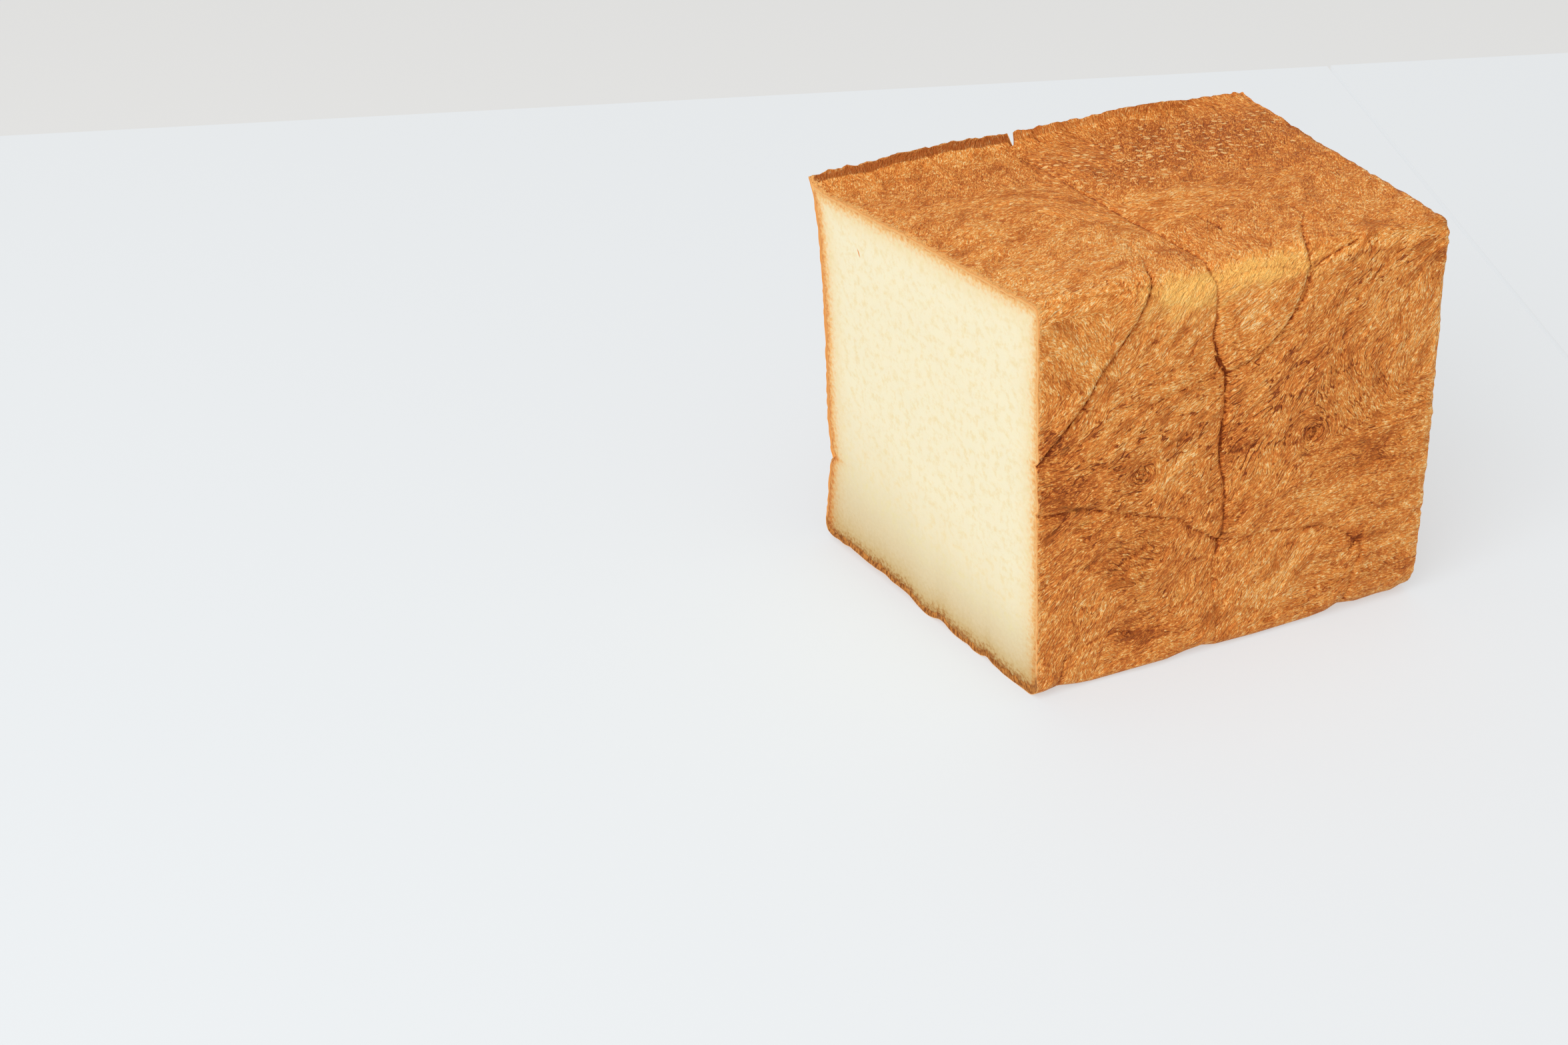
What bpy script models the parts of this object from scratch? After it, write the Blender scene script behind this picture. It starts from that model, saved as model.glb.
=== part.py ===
"""Tin loaf: what is left of a square white loaf, baked in a lidded tin and cut across once.

The loaf is one solid. It stands on its flat underside with its length along X, the cut face
at -X and the folded side at -Y, and its origin is the middle of the underside's box. Two
lumps of dough rose side by side in the tin, so a seam runs round the loaf between them.
Lengths are in metres. "Along" is measured from the near corner of the cut, "across" from the
folded side, and "up" from the table.
"""
import math

import bmesh
import bpy
import numpy as np

MM = 0.001

# Driving dimensions
NEAR_LENGTH = 132.0 * MM      # cut to far end, along the folded side
CUT_SKEW = 19.3 * MM          # the back side is this much longer than the folded side
CUT_LEAN = 1.0 * MM           # the cut's foot stands this far behind its top
WIDTH = 113.0 * MM            # across the underside
HEIGHT = 128.5 * MM           # table to the top crust, at the near corner of the cut

# Heights of the top crust at its other corners, as drops from HEIGHT
DROP_FAR_FRONT = 2.5 * MM
DROP_CUT_BACK = 3.3 * MM
DROP_FAR_BACK = 2.3 * MM

# Edge radii
RADIUS_TOP_FRONT = 4.0 * MM
RADIUS_SHOULDER = 5.0 * MM    # added to the top front edge where the seam crosses it
RADIUS_TOP_BACK = 1.2 * MM
RADIUS_UNDERSIDE = 4.5 * MM

# The back side sinks in at its middle, between the lid and the foot
WAIST_DEPTH = 5.6 * MM
WAIST_TOP_FADE = 9.0 * MM
WAIST_FOOT = 33.0 * MM        # up to here the back side leans in towards the waist

# The thin lip that the dough squeezed out under the lid, along the back top edge
LIP_HEIGHT = 4.2 * MM
LIP_FAR_HEIGHT = 1.8 * MM
LIP_THICKNESS = 2.4 * MM
NOTCH_WIDTH = 2.2 * MM

# The seam between the two lumps of dough
SEAM_DEPTH = 2.6 * MM
SEAM_HALF_WIDTH = 2.4 * MM
SEAM_VALLEY = 1.2 * MM        # how far the sides sink towards the seam
SEAM_VALLEY_WIDTH = 16.0 * MM

# The underside's crust lifts off the table at the cut, towards the back
CUT_LIFT = 2.4 * MM
CUT_LIFT_REACH = 14.0 * MM

# Grid of the surface: pieces along, across and up
GRID = (46, 21, 30)
SEAM_STATION = 21             # how many of the pieces along lie between the cut and the seam
EDGE_CROWDING = 0.55          # 0 spaces the grid evenly, 1 crowds it into the edges

# Paths over the surface, in mm. On the folded side and the back they are (along, up), on the
# top (along, across) and on the far end (across, up). The folds run up the folded side and on
# over the top, so their second number is up plus across.
SEAM_FRONT = ((60, 0), (61, 14), (59, 25), (61, 40), (62, 50), (60, 65), (60, 94), (57, 103),
              (56, 118), (55.5, 128.5))
SEAM_TOP = ((55.5, 0), (56, 15), (53, 40), (50, 62), (48, 85), (45, 105), (48, 113))
SEAM_BACK = ((47, 0), (45, 30), (48, 62), (45, 95), (48, 128.5))
FOLD_PATH = ((-6, 74), (8, 88), (20, 104), (30, 117), (36, 128.5), (38, 138))
FLAP_PATH = ((57, 100), (60, 94.5), (66, 96), (79, 107), (85, 121), (86, 132), (93, 147))
FOOT_PATH_NEAR = ((-4, 62), (14, 61), (30, 56), (48, 49), (60, 39))
FOOT_PATH_FAR = ((60, 39), (78, 37.5), (95, 35), (109, 24), (107, 0))
FOOT_PATH_BACK = ((-24, 33.5), (30, 35), (70, 31), (136, 34))

FOOT_PATH_END = ((0, 36), (40, 31), (80, 33), (113, 36))

# How each path marks the side: depth of its groove, half width, and the step beside it
FOLD_MARK = (1.2 * MM, 2.4 * MM, 1.6 * MM)
FLAP_MARK = (1.1 * MM, 2.2 * MM, 1.3 * MM)
FOOT_MARK = (1.4 * MM, 2.4 * MM, 0.8 * MM)
BACK_MARK = (2.4 * MM, 2.6 * MM, 0.0)
END_MARK = (0.9 * MM, 3.0 * MM, 0.6 * MM)
STEP_FADE = 14.0 * MM

# Dough coil ends, which leave a shallow knot on each lump: (along, up) in mm
KNOTS = ((33.5, 68), (90, 68))
KNOT_DEPTH = 1.0 * MM
KNOT_RADIUS = 4.5 * MM

CRUST_COLOUR = (0.50, 0.21, 0.06, 1.0)
CRUMB_COLOUR = (0.88, 0.78, 0.52, 1.0)


def remove_scene_objects():
    """Empty the scene."""
    for item in list(bpy.data.objects):
        bpy.data.objects.remove(item, do_unlink=True)


def make_material(name, colour, roughness):
    """Return a plain Principled material."""
    material = bpy.data.materials.new(name)
    material.use_nodes = True
    shader = material.node_tree.nodes["Principled BSDF"]
    shader.inputs["Base Color"].default_value = colour
    shader.inputs["Roughness"].default_value = roughness
    shader.inputs["Metallic"].default_value = 0.0
    return material


def smooth_step(value):
    """Rise from 0 to 1 as the value goes from 0 to 1, level at both ends."""
    held = np.clip(value, 0.0, 1.0)
    return held * held * (3.0 - 2.0 * held)


def crowd(share):
    """Shift evenly spaced shares of a length towards its two ends."""
    eased = 0.5 - 0.5 * np.cos(math.pi * share)
    return (1.0 - EDGE_CROWDING) * share + EDGE_CROWDING * eased


def curve_at(path, place):
    """Read a path, given as (value, place) pairs in mm, at the places given in metres."""
    points = np.array(sorted(path, key=lambda point: point[1]), dtype=float)
    return np.interp(place / MM, points[:, 1], points[:, 0]) * MM


def distance_to(path, along, other):
    """Distance from each point to a path of straight pieces, and which side of it it is on.

    The side is +1 to the left of the path's direction and -1 to its right.
    """
    points = np.array(path, dtype=float) * MM
    best = np.full(along.shape, np.inf)
    side = np.ones(along.shape)
    for start, end in zip(points[:-1], points[1:]):
        run = end - start
        from_start = np.stack([along - start[0], other - start[1]], axis=-1)
        share = np.clip(from_start @ run / (run @ run), 0.0, 1.0)
        gap = from_start - share[:, None] * run
        length = np.hypot(gap[:, 0], gap[:, 1])
        turn = run[0] * from_start[:, 1] - run[1] * from_start[:, 0]
        closer = length < best
        best = np.where(closer, length, best)
        side = np.where(closer, np.sign(turn) + (turn == 0), side)
    return best, side


def cut_plane(across, up):
    """Where the cut stands along the loaf, at each place on it."""
    return -CUT_SKEW * across / WIDTH + CUT_LEAN * (1.0 - up / HEIGHT)


def top_drop(along_share, across):
    """How far the top crust lies below HEIGHT."""
    back = across / WIDTH
    near = DROP_CUT_BACK * back
    far = DROP_FAR_FRONT * (1.0 - back) + DROP_FAR_BACK * back
    return near * (1.0 - along_share) + far * along_share


def waist(up):
    """How far the back side sinks in at each height."""
    top = 1.0 - np.exp(-np.maximum(HEIGHT - up, 0.0) / WAIST_TOP_FADE)
    foot = np.clip(up / WAIST_FOOT, 0.0, 1.0) ** 0.8
    return WAIST_DEPTH * top * foot


def edge_radius(along, across, up):
    """Radius of the nearest long edge: each corner of the section has its own."""
    shoulder = np.exp(-((along - 61.0 * MM) / (30.0 * MM)) ** 4)
    top_front = RADIUS_TOP_FRONT + RADIUS_SHOULDER * shoulder
    back_share = smooth_step(across / WIDTH)
    top = top_front * (1.0 - back_share) + RADIUS_TOP_BACK * back_share
    top_share = smooth_step(up / HEIGHT)
    return RADIUS_UNDERSIDE * (1.0 - top_share) + top * top_share


def round_edges(place):
    """Round the box's edges, the cut's excepted, and return the places and their normals.

    Each point is compared with the nearest one of a smaller box inside. Its offset from there
    keeps its direction, and its longest part becomes its length, which turns corners into arcs.
    """
    along, across, up = place.T
    radius = edge_radius(along, across, up)
    inner = np.stack([
        np.minimum(along, NEAR_LENGTH - radius),
        np.clip(across, radius, WIDTH - radius),
        np.clip(up, radius, HEIGHT - radius),
    ], axis=-1)
    outward = place - inner
    length = np.linalg.norm(outward, axis=1, keepdims=True)
    normal = np.where(length > 1e-9, outward / np.maximum(length, 1e-9), 0.0)
    return inner + normal * np.abs(outward).max(axis=1, keepdims=True), normal


def seam_line(place, faces):
    """Where the seam runs along the loaf, at each point's place round the section."""
    across, up = place[:, 1], place[:, 2]
    line = curve_at(SEAM_FRONT, up)
    line = np.where(faces["top"], curve_at(SEAM_TOP, across), line)
    line = np.where(faces["back"], curve_at(SEAM_BACK, up), line)
    under = SEAM_FRONT[0][0] + (SEAM_BACK[0][0] - SEAM_FRONT[0][0]) * across / WIDTH
    return np.where(faces["under"], under * MM, line)


def place_stations(unit, place, faces):
    """Place the grid along the loaf, so that one line of it follows the seam."""
    line = seam_line(place, faces)
    start = cut_plane(place[:, 1], place[:, 2])
    seam_share = SEAM_STATION / GRID[0]
    before = crowd(np.clip(unit[:, 0] / seam_share, 0.0, 1.0))
    after = crowd(np.clip((unit[:, 0] - seam_share) / (1.0 - seam_share), 0.0, 1.0))
    return start + before * (line - start) + after * (NEAR_LENGTH - line), line


def seam_relief(along, line, faces):
    """Groove and valley of the seam. The underside was pressed flat and has none."""
    gap = (along - line) / SEAM_HALF_WIDTH
    groove = SEAM_DEPTH * np.exp(-gap * gap)
    groove = np.where(faces["top"], 0.5 * groove, groove)
    valley = SEAM_VALLEY * np.exp(-((along - line) / SEAM_VALLEY_WIDTH) ** 2)
    return np.where(faces["under"], 0.0, -groove - valley)


def path_relief(path, mark, along, other):
    """Groove along a path, with the dough on its left standing proud beside it."""
    depth, half_width, step = mark
    distance, side = distance_to(path, along, other)
    groove = depth * np.exp(-(distance / half_width) ** 2)
    proud = step * smooth_step(distance / half_width) * np.exp(-distance / STEP_FADE)
    return np.where(side > 0, proud, 0.0) - groove


def knot_relief(along, up):
    """Shallow dimples where the dough coils end."""
    relief = np.zeros(along.shape)
    for knot_along, knot_up in KNOTS:
        distance = np.hypot(along - knot_along * MM, up - knot_up * MM)
        relief -= KNOT_DEPTH * np.exp(-(distance / KNOT_RADIUS) ** 2)
    return relief


def side_relief(place, faces):
    """Folds on the folded side and the top, on the back and on the far end."""
    along, across, up = place.T
    climb = np.where(faces["top"], HEIGHT + across, up)
    front = path_relief(FOLD_PATH, FOLD_MARK, along, climb)
    front += path_relief(FLAP_PATH, FLAP_MARK, along, climb)
    front += path_relief(FOOT_PATH_NEAR, FOOT_MARK, along, climb)
    front += path_relief(FOOT_PATH_FAR, FOOT_MARK, along, climb)
    front += knot_relief(along, climb)
    back = path_relief(FOOT_PATH_BACK, BACK_MARK, along, up)
    end = path_relief(FOOT_PATH_END, END_MARK, across, up)
    relief = np.where(faces["front"] | faces["top"], front, 0.0)
    relief = np.where(faces["back"], back, relief)
    return np.where(faces["end"] & ~faces["front"] & ~faces["back"], end, relief)


def lip_rise(along_share, place, line, faces):
    """Height of the lip over the top crust, with the notch where the seam splits it."""
    height = LIP_HEIGHT + (LIP_FAR_HEIGHT - LIP_HEIGHT) * along_share
    ripple = 0.5 * MM * np.sin(along_share * 21.0) * (1.0 - along_share)
    near_edge = smooth_step((place[:, 1] - (WIDTH - LIP_THICKNESS)) / (0.4 * LIP_THICKNESS))
    notch = 1.0 - np.exp(-((place[:, 0] - line) / NOTCH_WIDTH) ** 2)
    upper = place[:, 2] > HEIGHT - 2.0 * RADIUS_TOP_BACK
    return np.where(upper & (faces["top"] | faces["back"]), (height + ripple) * near_edge * notch, 0.0)


def cut_underside_lift(along, across, up):
    """Lift of the underside's crust beside the cut, from the middle to the back."""
    reach = np.exp(-np.maximum(along, 0.0) / CUT_LIFT_REACH)
    towards_back = smooth_step((across - 56.0 * MM) / (12.0 * MM))
    low = np.clip(1.0 - up / (20.0 * MM), 0.0, 1.0)
    return CUT_LIFT * reach * towards_back * low


def loaf_surface(unit):
    """Move the points of a unit cube's grid to the loaf's surface."""
    faces = {
        "front": unit[:, 1] < 1e-6,
        "back": unit[:, 1] > 1.0 - 1e-6,
        "under": unit[:, 2] < 1e-6,
        "top": unit[:, 2] > 1.0 - 1e-6,
        "end": unit[:, 0] > 1.0 - 1e-6,
    }
    across = crowd(unit[:, 1]) * WIDTH
    up = crowd(unit[:, 2]) * HEIGHT
    place = np.stack([np.zeros_like(across), across, up], axis=-1)
    place[:, 0], line = place_stations(unit, place, faces)
    box_place = place.copy()
    start = cut_plane(place[:, 1], place[:, 2])
    along_share = (place[:, 0] - start) / (NEAR_LENGTH - start)

    place, normal = round_edges(place)
    relief = seam_relief(box_place[:, 0], line, faces) + side_relief(box_place, faces)
    place = place + normal * relief[:, None]

    place[:, 2] -= top_drop(along_share, place[:, 1]) * (place[:, 2] / HEIGHT)
    place[:, 2] += lip_rise(along_share, box_place, line, faces)
    place[:, 2] += cut_underside_lift(place[:, 0] - start, place[:, 1], place[:, 2])
    place[:, 1] -= waist(place[:, 2]) * smooth_step(place[:, 1] / WIDTH)
    place[:, 0] += (cut_plane(place[:, 1], place[:, 2]) - start) * (1.0 - along_share)
    return place


def centre_on_base(place):
    """Put the origin at the middle of the loaf's box, at its lowest point."""
    low, high = place.min(axis=0), place.max(axis=0)
    return place - np.array([(low[0] + high[0]) / 2, (low[1] + high[1]) / 2, low[2]])


def cube_grid(pieces):
    """Return a cube of side 1 with its faces divided into the given pieces along X, Y and Z."""
    mesh = bmesh.new()
    bmesh.ops.create_cube(mesh, size=1.0)
    for axis, count in enumerate(pieces):
        edges = [edge for edge in mesh.edges
                 if abs(edge.verts[0].co[axis] - edge.verts[1].co[axis]) > 0.5]
        bmesh.ops.subdivide_edges(mesh, edges=edges, cuts=count - 1, use_grid_fill=True)
    return mesh


def build_loaf():
    """Build the loaf as one object, crust all over and crumb on the cut face."""
    grid = cube_grid(GRID)
    unit = np.array([tuple(vert.co) for vert in grid.verts]) + 0.5
    cut_faces = [face.index for face in grid.faces if face.calc_center_median().x < -0.5 + 1e-6]
    place = centre_on_base(loaf_surface(unit))
    for vert, point in zip(grid.verts, place):
        vert.co = point
    grid.faces.ensure_lookup_table()
    for face in grid.faces:
        face.smooth = True
    bmesh.ops.recalc_face_normals(grid, faces=grid.faces)
    mesh = bpy.data.meshes.new("loaf")
    grid.to_mesh(mesh)
    grid.free()
    mesh.materials.append(make_material("crust", CRUST_COLOUR, 0.55))
    mesh.materials.append(make_material("crumb", CRUMB_COLOUR, 0.85))
    for index in cut_faces:
        mesh.polygons[index].material_index = 1
    mesh.set_sharp_from_angle(angle=math.radians(50.0))
    loaf = bpy.data.objects.new("loaf", mesh)
    bpy.context.scene.collection.objects.link(loaf)
    return loaf


remove_scene_objects()
build_loaf()
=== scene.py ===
"""Tin loaf: its crust and its crumb, on a white table in a pale room, with the camera.

The loaf is a square white loaf from a lidded tin, cut across at -X. Shapes are worked out in
millimetres in the loaf's own measure: "along" from the near corner of the cut towards +X,
"across" from the folded side towards +Y, and "up" from the table. The skin is also measured
unrolled, as (along, around), where around climbs the folded side, crosses the top, comes down
the back and returns under the loaf.
"""
import itertools
import logging
import math
from dataclasses import dataclass, field
from enum import Enum
from typing import NamedTuple, Sequence

import bpy
import numpy as np
from mathutils import Euler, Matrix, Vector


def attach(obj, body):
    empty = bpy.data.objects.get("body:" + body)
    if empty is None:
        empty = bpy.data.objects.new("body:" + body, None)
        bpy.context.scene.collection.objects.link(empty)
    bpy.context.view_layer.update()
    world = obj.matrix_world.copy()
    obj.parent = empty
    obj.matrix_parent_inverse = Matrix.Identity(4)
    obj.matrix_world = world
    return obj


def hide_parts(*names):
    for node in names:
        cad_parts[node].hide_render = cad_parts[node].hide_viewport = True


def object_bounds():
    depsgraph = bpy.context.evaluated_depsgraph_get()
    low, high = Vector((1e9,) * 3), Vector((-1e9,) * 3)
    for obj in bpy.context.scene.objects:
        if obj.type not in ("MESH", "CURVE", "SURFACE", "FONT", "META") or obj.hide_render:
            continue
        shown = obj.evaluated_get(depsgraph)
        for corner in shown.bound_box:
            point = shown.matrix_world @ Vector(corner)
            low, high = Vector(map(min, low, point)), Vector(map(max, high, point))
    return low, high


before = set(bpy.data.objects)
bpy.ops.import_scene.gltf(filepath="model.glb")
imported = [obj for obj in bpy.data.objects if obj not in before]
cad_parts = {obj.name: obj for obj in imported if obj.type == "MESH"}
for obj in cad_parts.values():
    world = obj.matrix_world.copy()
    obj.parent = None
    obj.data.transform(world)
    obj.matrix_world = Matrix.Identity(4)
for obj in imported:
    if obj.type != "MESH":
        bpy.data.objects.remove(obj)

CAD_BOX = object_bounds()
LOG = logging.getLogger("tin_loaf")
MM = 0.001
NODE = "loaf"
# The map that the finishes read. One unit of it is SKIN_UNIT mm of skin
SKIN_MAP = "Skin"
SKIN_UNIT = 100.0
# The map whose faces do not overlap
BAKE_MAP = "OFBake"
# How many random values lattice noise has each way before it repeats
LATTICE = 64

Array = np.ndarray
Ramp = tuple[tuple[float, str], ...]
Socket = bpy.types.NodeSocket
Tree = bpy.types.NodeTree
Sockets = dict[str, Socket]
Feed = float | tuple[float, ...] | Socket


# -----------------------------------------------
# Small tools
# -----------------------------------------------

def linear_colour(hex_value: str) -> tuple[float, float, float, float]:
    """Turn an sRGB hex value into a linear colour.

    Args:
        hex_value: six hex digits, red first.

    Returns:
        Linear red, green and blue, and an alpha of 1.
    """
    shares = [int(hex_value[start:start + 2], 16) / 255.0 for start in (0, 2, 4)]
    linear = [share / 12.92 if share <= 0.04045 else ((share + 0.055) / 1.055) ** 2.4
              for share in shares]
    return linear[0], linear[1], linear[2], 1.0


def smooth_step(value: Array) -> Array:
    """Rise from 0 to 1 as the value goes from 0 to 1, level at both ends."""
    held = np.clip(value, 0.0, 1.0)
    return held * held * (3.0 - 2.0 * held)


def bell(distance: Array, reach: float) -> Array:
    """1 at no distance, falling as a bell curve over the reach."""
    return np.exp(-(distance / reach) ** 2)


def lattice_noise(points: Array, seed: int) -> Array:
    """Smooth noise from -1 to 1: random values on a unit lattice, eased between neighbours.

    Args:
        points: places, with two or three numbers each, in lattice steps.
        seed: picks the random values.

    Returns:
        One value for each place.
    """
    depth = points.shape[-1]
    table = np.random.default_rng(seed).uniform(-1.0, 1.0, (LATTICE,) * depth)
    cell = np.floor(points).astype(int)
    part = points - cell
    part = part * part * (3.0 - 2.0 * part)
    total = np.zeros(points.shape[:-1])
    for corner in itertools.product((0, 1), repeat=depth):
        weight = np.prod(np.where(corner, part, 1.0 - part), axis=-1)
        total += weight * table[tuple(np.moveaxis((cell + corner) % LATTICE, -1, 0))]
    return total


def flat(along: Array, around: Array, size: float, turn: float = 0.0,
         stretch: float = 1.0) -> Array:
    """Find the lattice places of a flat pattern.

    Args:
        along: the first measure of each place, in mm.
        around: its second measure.
        size: the pattern's size in mm.
        turn: how far the pattern is turned, in degrees.
        stretch: how many times longer it is along its own first direction.

    Returns:
        Two lattice numbers for each place.
    """
    angle = math.radians(turn)
    first = along * math.cos(angle) + around * math.sin(angle)
    second = around * math.cos(angle) - along * math.sin(angle)
    return np.stack([first / (size * stretch), second / size], axis=-1)


def line_noise(measure: Array, size: float, seed: int) -> Array:
    """Lattice noise along one measure only, with features of a size in mm."""
    return lattice_noise(flat(measure, np.zeros_like(measure), size), seed)


def read_off(table: Sequence[tuple[float, ...]], place: Array, column: int = 1) -> Array:
    """Read one column of a table, in straight lines between its rows.

    Args:
        table: rows whose first numbers rise.
        place: where in the first column to read.
        column: which column to read there.

    Returns:
        One value for each place.
    """
    rows = np.array(table, dtype=float)
    return np.interp(place, rows[:, 0], rows[:, column])


def curve_through(route: Sequence[tuple[float, float]], pieces: int = 5) -> Array:
    """Draw a smooth curve through a route's points, each stretch a cubic of the nearest four.

    Args:
        route: the points.
        pieces: straight pieces from one point to the next.

    Returns:
        The curve's points, with two numbers each.
    """
    knots = np.array(route, dtype=float)
    padded = np.vstack([2 * knots[0] - knots[1], knots, 2 * knots[-1] - knots[-2]])
    share = np.linspace(0.0, 1.0, pieces, endpoint=False)[:, None]
    runs = []
    for first, start, end, last in zip(padded[:-3], padded[1:-2], padded[2:-1], padded[3:]):
        bend = 2 * first - 5 * start + 4 * end - last
        twist = 3 * start - first - 3 * end + last
        runs.append(start + 0.5 * (share * (end - first) + share ** 2 * bend
                                   + share ** 3 * twist))
    return np.vstack(runs + [knots[-1:]])


# -----------------------------------------------
# Folds and grain of the skin
# -----------------------------------------------

# How far a fold's shade reaches to either side, in mm
SHADE_REACH = 2.4
# Distances to a crease, in mm, are kept up to this one
NO_CREASE = 8.0


class Pressed(NamedTuple):
    """Relief in mm, shade from 0 to 1, distance to the crease in mm, and a painted highlight
    on its crest.
    """

    relief: Array
    shade: Array
    gap: Array
    crest_highlight: Array


@dataclass(frozen=True)
class Crease:
    """A fold or wrinkle along a route over the unrolled skin. Sizes are in mm.

    The skin on the route's left may stand proud by a height that dies away over the fade. The
    gather is the share by which the grid's lines are drawn in to the groove.
    """

    route: tuple[tuple[float, float], ...]
    depth: float = 0.8
    half_width: float = 0.6
    left: float = 0.0
    fade: float = 9.0
    shade: float = 0.6
    gather: float = 0.55
    least_reach: float = 9.0

    def reach(self) -> float:
        """How far from the route the crease still changes the skin."""
        return max(3.0 * self.fade if self.left else 0.0, self.least_reach)

    def measure(self, along: Array, around: Array) -> tuple[Array, Array, Array, Array, Array]:
        """Find the places near the route.

        Args:
            along: places along the loaf.
            around: places around it.

        Returns:
            The indices of the places within reach, and for each of them its distance, its
            side of the route (+1 on the left), and the nearest point's two measures.
        """
        points = curve_through(self.route)
        low, high = points.min(axis=0) - self.reach(), points.max(axis=0) + self.reach()
        near = np.flatnonzero((along > low[0]) & (along < high[0])
                              & (around > low[1]) & (around < high[1]))
        place = np.stack([along[near], around[near]], axis=-1)
        best = np.full(len(near), np.inf)
        side = np.ones(len(near))
        foot = place.copy()
        for start, end in zip(points[:-1], points[1:]):
            run = end - start
            offset = place - start
            share = np.clip(offset @ run / (run @ run), 0.0, 1.0)
            gap = offset - share[:, None] * run
            length = np.hypot(gap[:, 0], gap[:, 1])
            turn = run[0] * offset[:, 1] - run[1] * offset[:, 0]
            closer = length < best
            best = np.where(closer, length, best)
            side = np.where(closer, np.where(turn >= 0.0, 1.0, -1.0), side)
            foot = np.where(closer[:, None], place - gap, foot)
        return near, best, side, foot[:, 0], foot[:, 1]

    def pull(self, along: Array, around: Array) -> tuple[Array, Array]:
        """Draw the grid's lines towards the route, so that they are closest at the groove.

        Args:
            along: places along the loaf.
            around: places around it.

        Returns:
            The places' new two measures.
        """
        near, distance, _, foot_along, foot_around = self.measure(along, around)
        share = self.gather * bell(distance, 3.2 * self.half_width + 1.0)
        moved_along, moved_around = along.copy(), around.copy()
        moved_along[near] += (foot_along - along[near]) * share
        moved_around[near] += (foot_around - around[near]) * share
        return moved_along, moved_around

    def press(self, along: Array, around: Array) -> Pressed:
        """What the crease does to every place.

        The groove is a bell across the route. The left side stands proud by its height, which
        rises from the groove's bottom and dies away over the fade, and its brow gets a painted
        highlight.

        Args:
            along: places along the loaf.
            around: places around it.

        Returns:
            Relief, shade, distance and the crest's painted highlight at every place.
        """
        near, distance, side, _, _ = self.measure(along, around)
        proud = np.where(side > 0.0, self.left, 0.0)
        step = proud * smooth_step(distance / (1.6 * self.half_width))
        step = step * np.exp(-distance / self.fade)
        relief, shade = np.zeros(along.shape), np.zeros(along.shape)
        gap = np.full(along.shape, NO_CREASE)
        relief[near] = step - self.depth * bell(distance, self.half_width)
        shade[near] = self.shade * bell(distance, SHADE_REACH)
        gap[near] = np.minimum(distance, NO_CREASE)
        crest_highlight = np.zeros(along.shape)
        # a painted highlight along the brow of the proud side
        crest_highlight[near] = np.clip(proud, 0.0, 1.0) * bell(distance - 1.9 * self.half_width, 0.8)
        return Pressed(relief, shade, gap, crest_highlight)


@dataclass(frozen=True)
class Knot:
    """The end of a dough coil: a small pit with a nub in it and rings of skin round it."""

    along: float
    around: float
    radius: float = 4.2

    def distance(self, along: Array, around: Array) -> Array:
        """Distance from the knot's middle."""
        return np.hypot(along - self.along, around - self.around)

    def press(self, along: Array, around: Array) -> tuple[Array, Array]:
        """Press the knot: a wide dimple, a ring of ditch in it and the nub in the middle.

        Args:
            along: places along the loaf.
            around: places around it.

        Returns:
            The relief at every place, and its distance from the ring.
        """
        far = self.distance(along, around)
        dimple = -0.7 * bell(far, self.radius)
        ring = np.abs(far - 0.42 * self.radius)
        ditch = -0.6 * bell(ring, 0.2 * self.radius)
        nub = 0.6 * bell(far, 0.28 * self.radius)
        return dimple + ditch + nub, ring


@dataclass(frozen=True)
class Stroke:
    """A brush stroke of grain: near it the dough's fibres run at this angle, in degrees."""

    along: float
    around: float
    angle: float
    reach: float = 14.0


@dataclass(frozen=True)
class Grain:
    """Which way the dough was stretched, all over the skin."""

    strokes: tuple[Stroke, ...]
    knots: tuple[Knot, ...]
    wander: float = 0.9

    def lean(self, along: Array, around: Array) -> tuple[Array, Array]:
        """Blend the strokes, and circles round the knots, by nearness.

        A direction is kept as the cosine and sine of twice its angle, so that opposite
        directions are one.

        Args:
            along: places along the loaf.
            around: places around it.

        Returns:
            Cosine and sine of twice the grain's angle; both are small where it is mixed.
        """
        # the small starting values give a direction where no stroke reaches
        cosine = np.full(along.shape, 1e-4)
        sine = np.zeros(along.shape)
        weight = np.full(along.shape, 2e-3)
        for stroke in self.strokes:
            far = (along - stroke.along) ** 2 + (around - stroke.around) ** 2
            share = np.exp(-far / stroke.reach ** 2)
            cosine += share * math.cos(math.radians(2 * stroke.angle))
            sine += share * math.sin(math.radians(2 * stroke.angle))
            weight += share
        for knot in self.knots:
            turn = np.arctan2(around - knot.around, along - knot.along) + math.pi / 2
            share = 2.0 * bell(knot.distance(along, around), 1.1 * knot.radius)
            cosine += share * np.cos(2 * turn)
            sine += share * np.sin(2 * turn)
            weight += share
        wander = self.wander * lattice_noise(flat(along, around, 5.0), 17)
        turned = np.exp(1j * wander) * (cosine + 1j * sine) / weight
        return turned.real, turned.imag

    def streaks(self, along: Array, around: Array, width: float, length: float, seed: int) -> Array:
        """Noise drawn out along the grain: the mean of the noise met on a walk both ways.

        Args:
            along: places along the loaf.
            around: places around it.
            width: the streaks' width in mm.
            length: how far each walk goes, in mm.
            seed: picks the noise.

        Returns:
            Streaks of about -1 to 1 at every place.
        """
        stride = 0.8 * width
        steps = max(2, round(length / stride))
        total = lattice_noise(flat(along, around, width), seed)
        for sense in (1.0, -1.0):
            place_along, place_around = along, around
            last = None
            for _ in range(steps):
                cosine, sine = self.lean(place_along, place_around)
                angle = 0.5 * np.arctan2(sine, cosine)
                step = np.stack([np.cos(angle), np.sin(angle)]) * sense
                if last is not None:
                    step = step * np.where((step * last).sum(axis=0) < 0.0, -1.0, 1.0)
                last = step
                place_along = place_along + stride * step[0]
                place_around = place_around + stride * step[1]
                total = total + lattice_noise(flat(place_along, place_around, width), seed)
        return total / math.sqrt(2 * steps + 1) * 1.6


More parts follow.
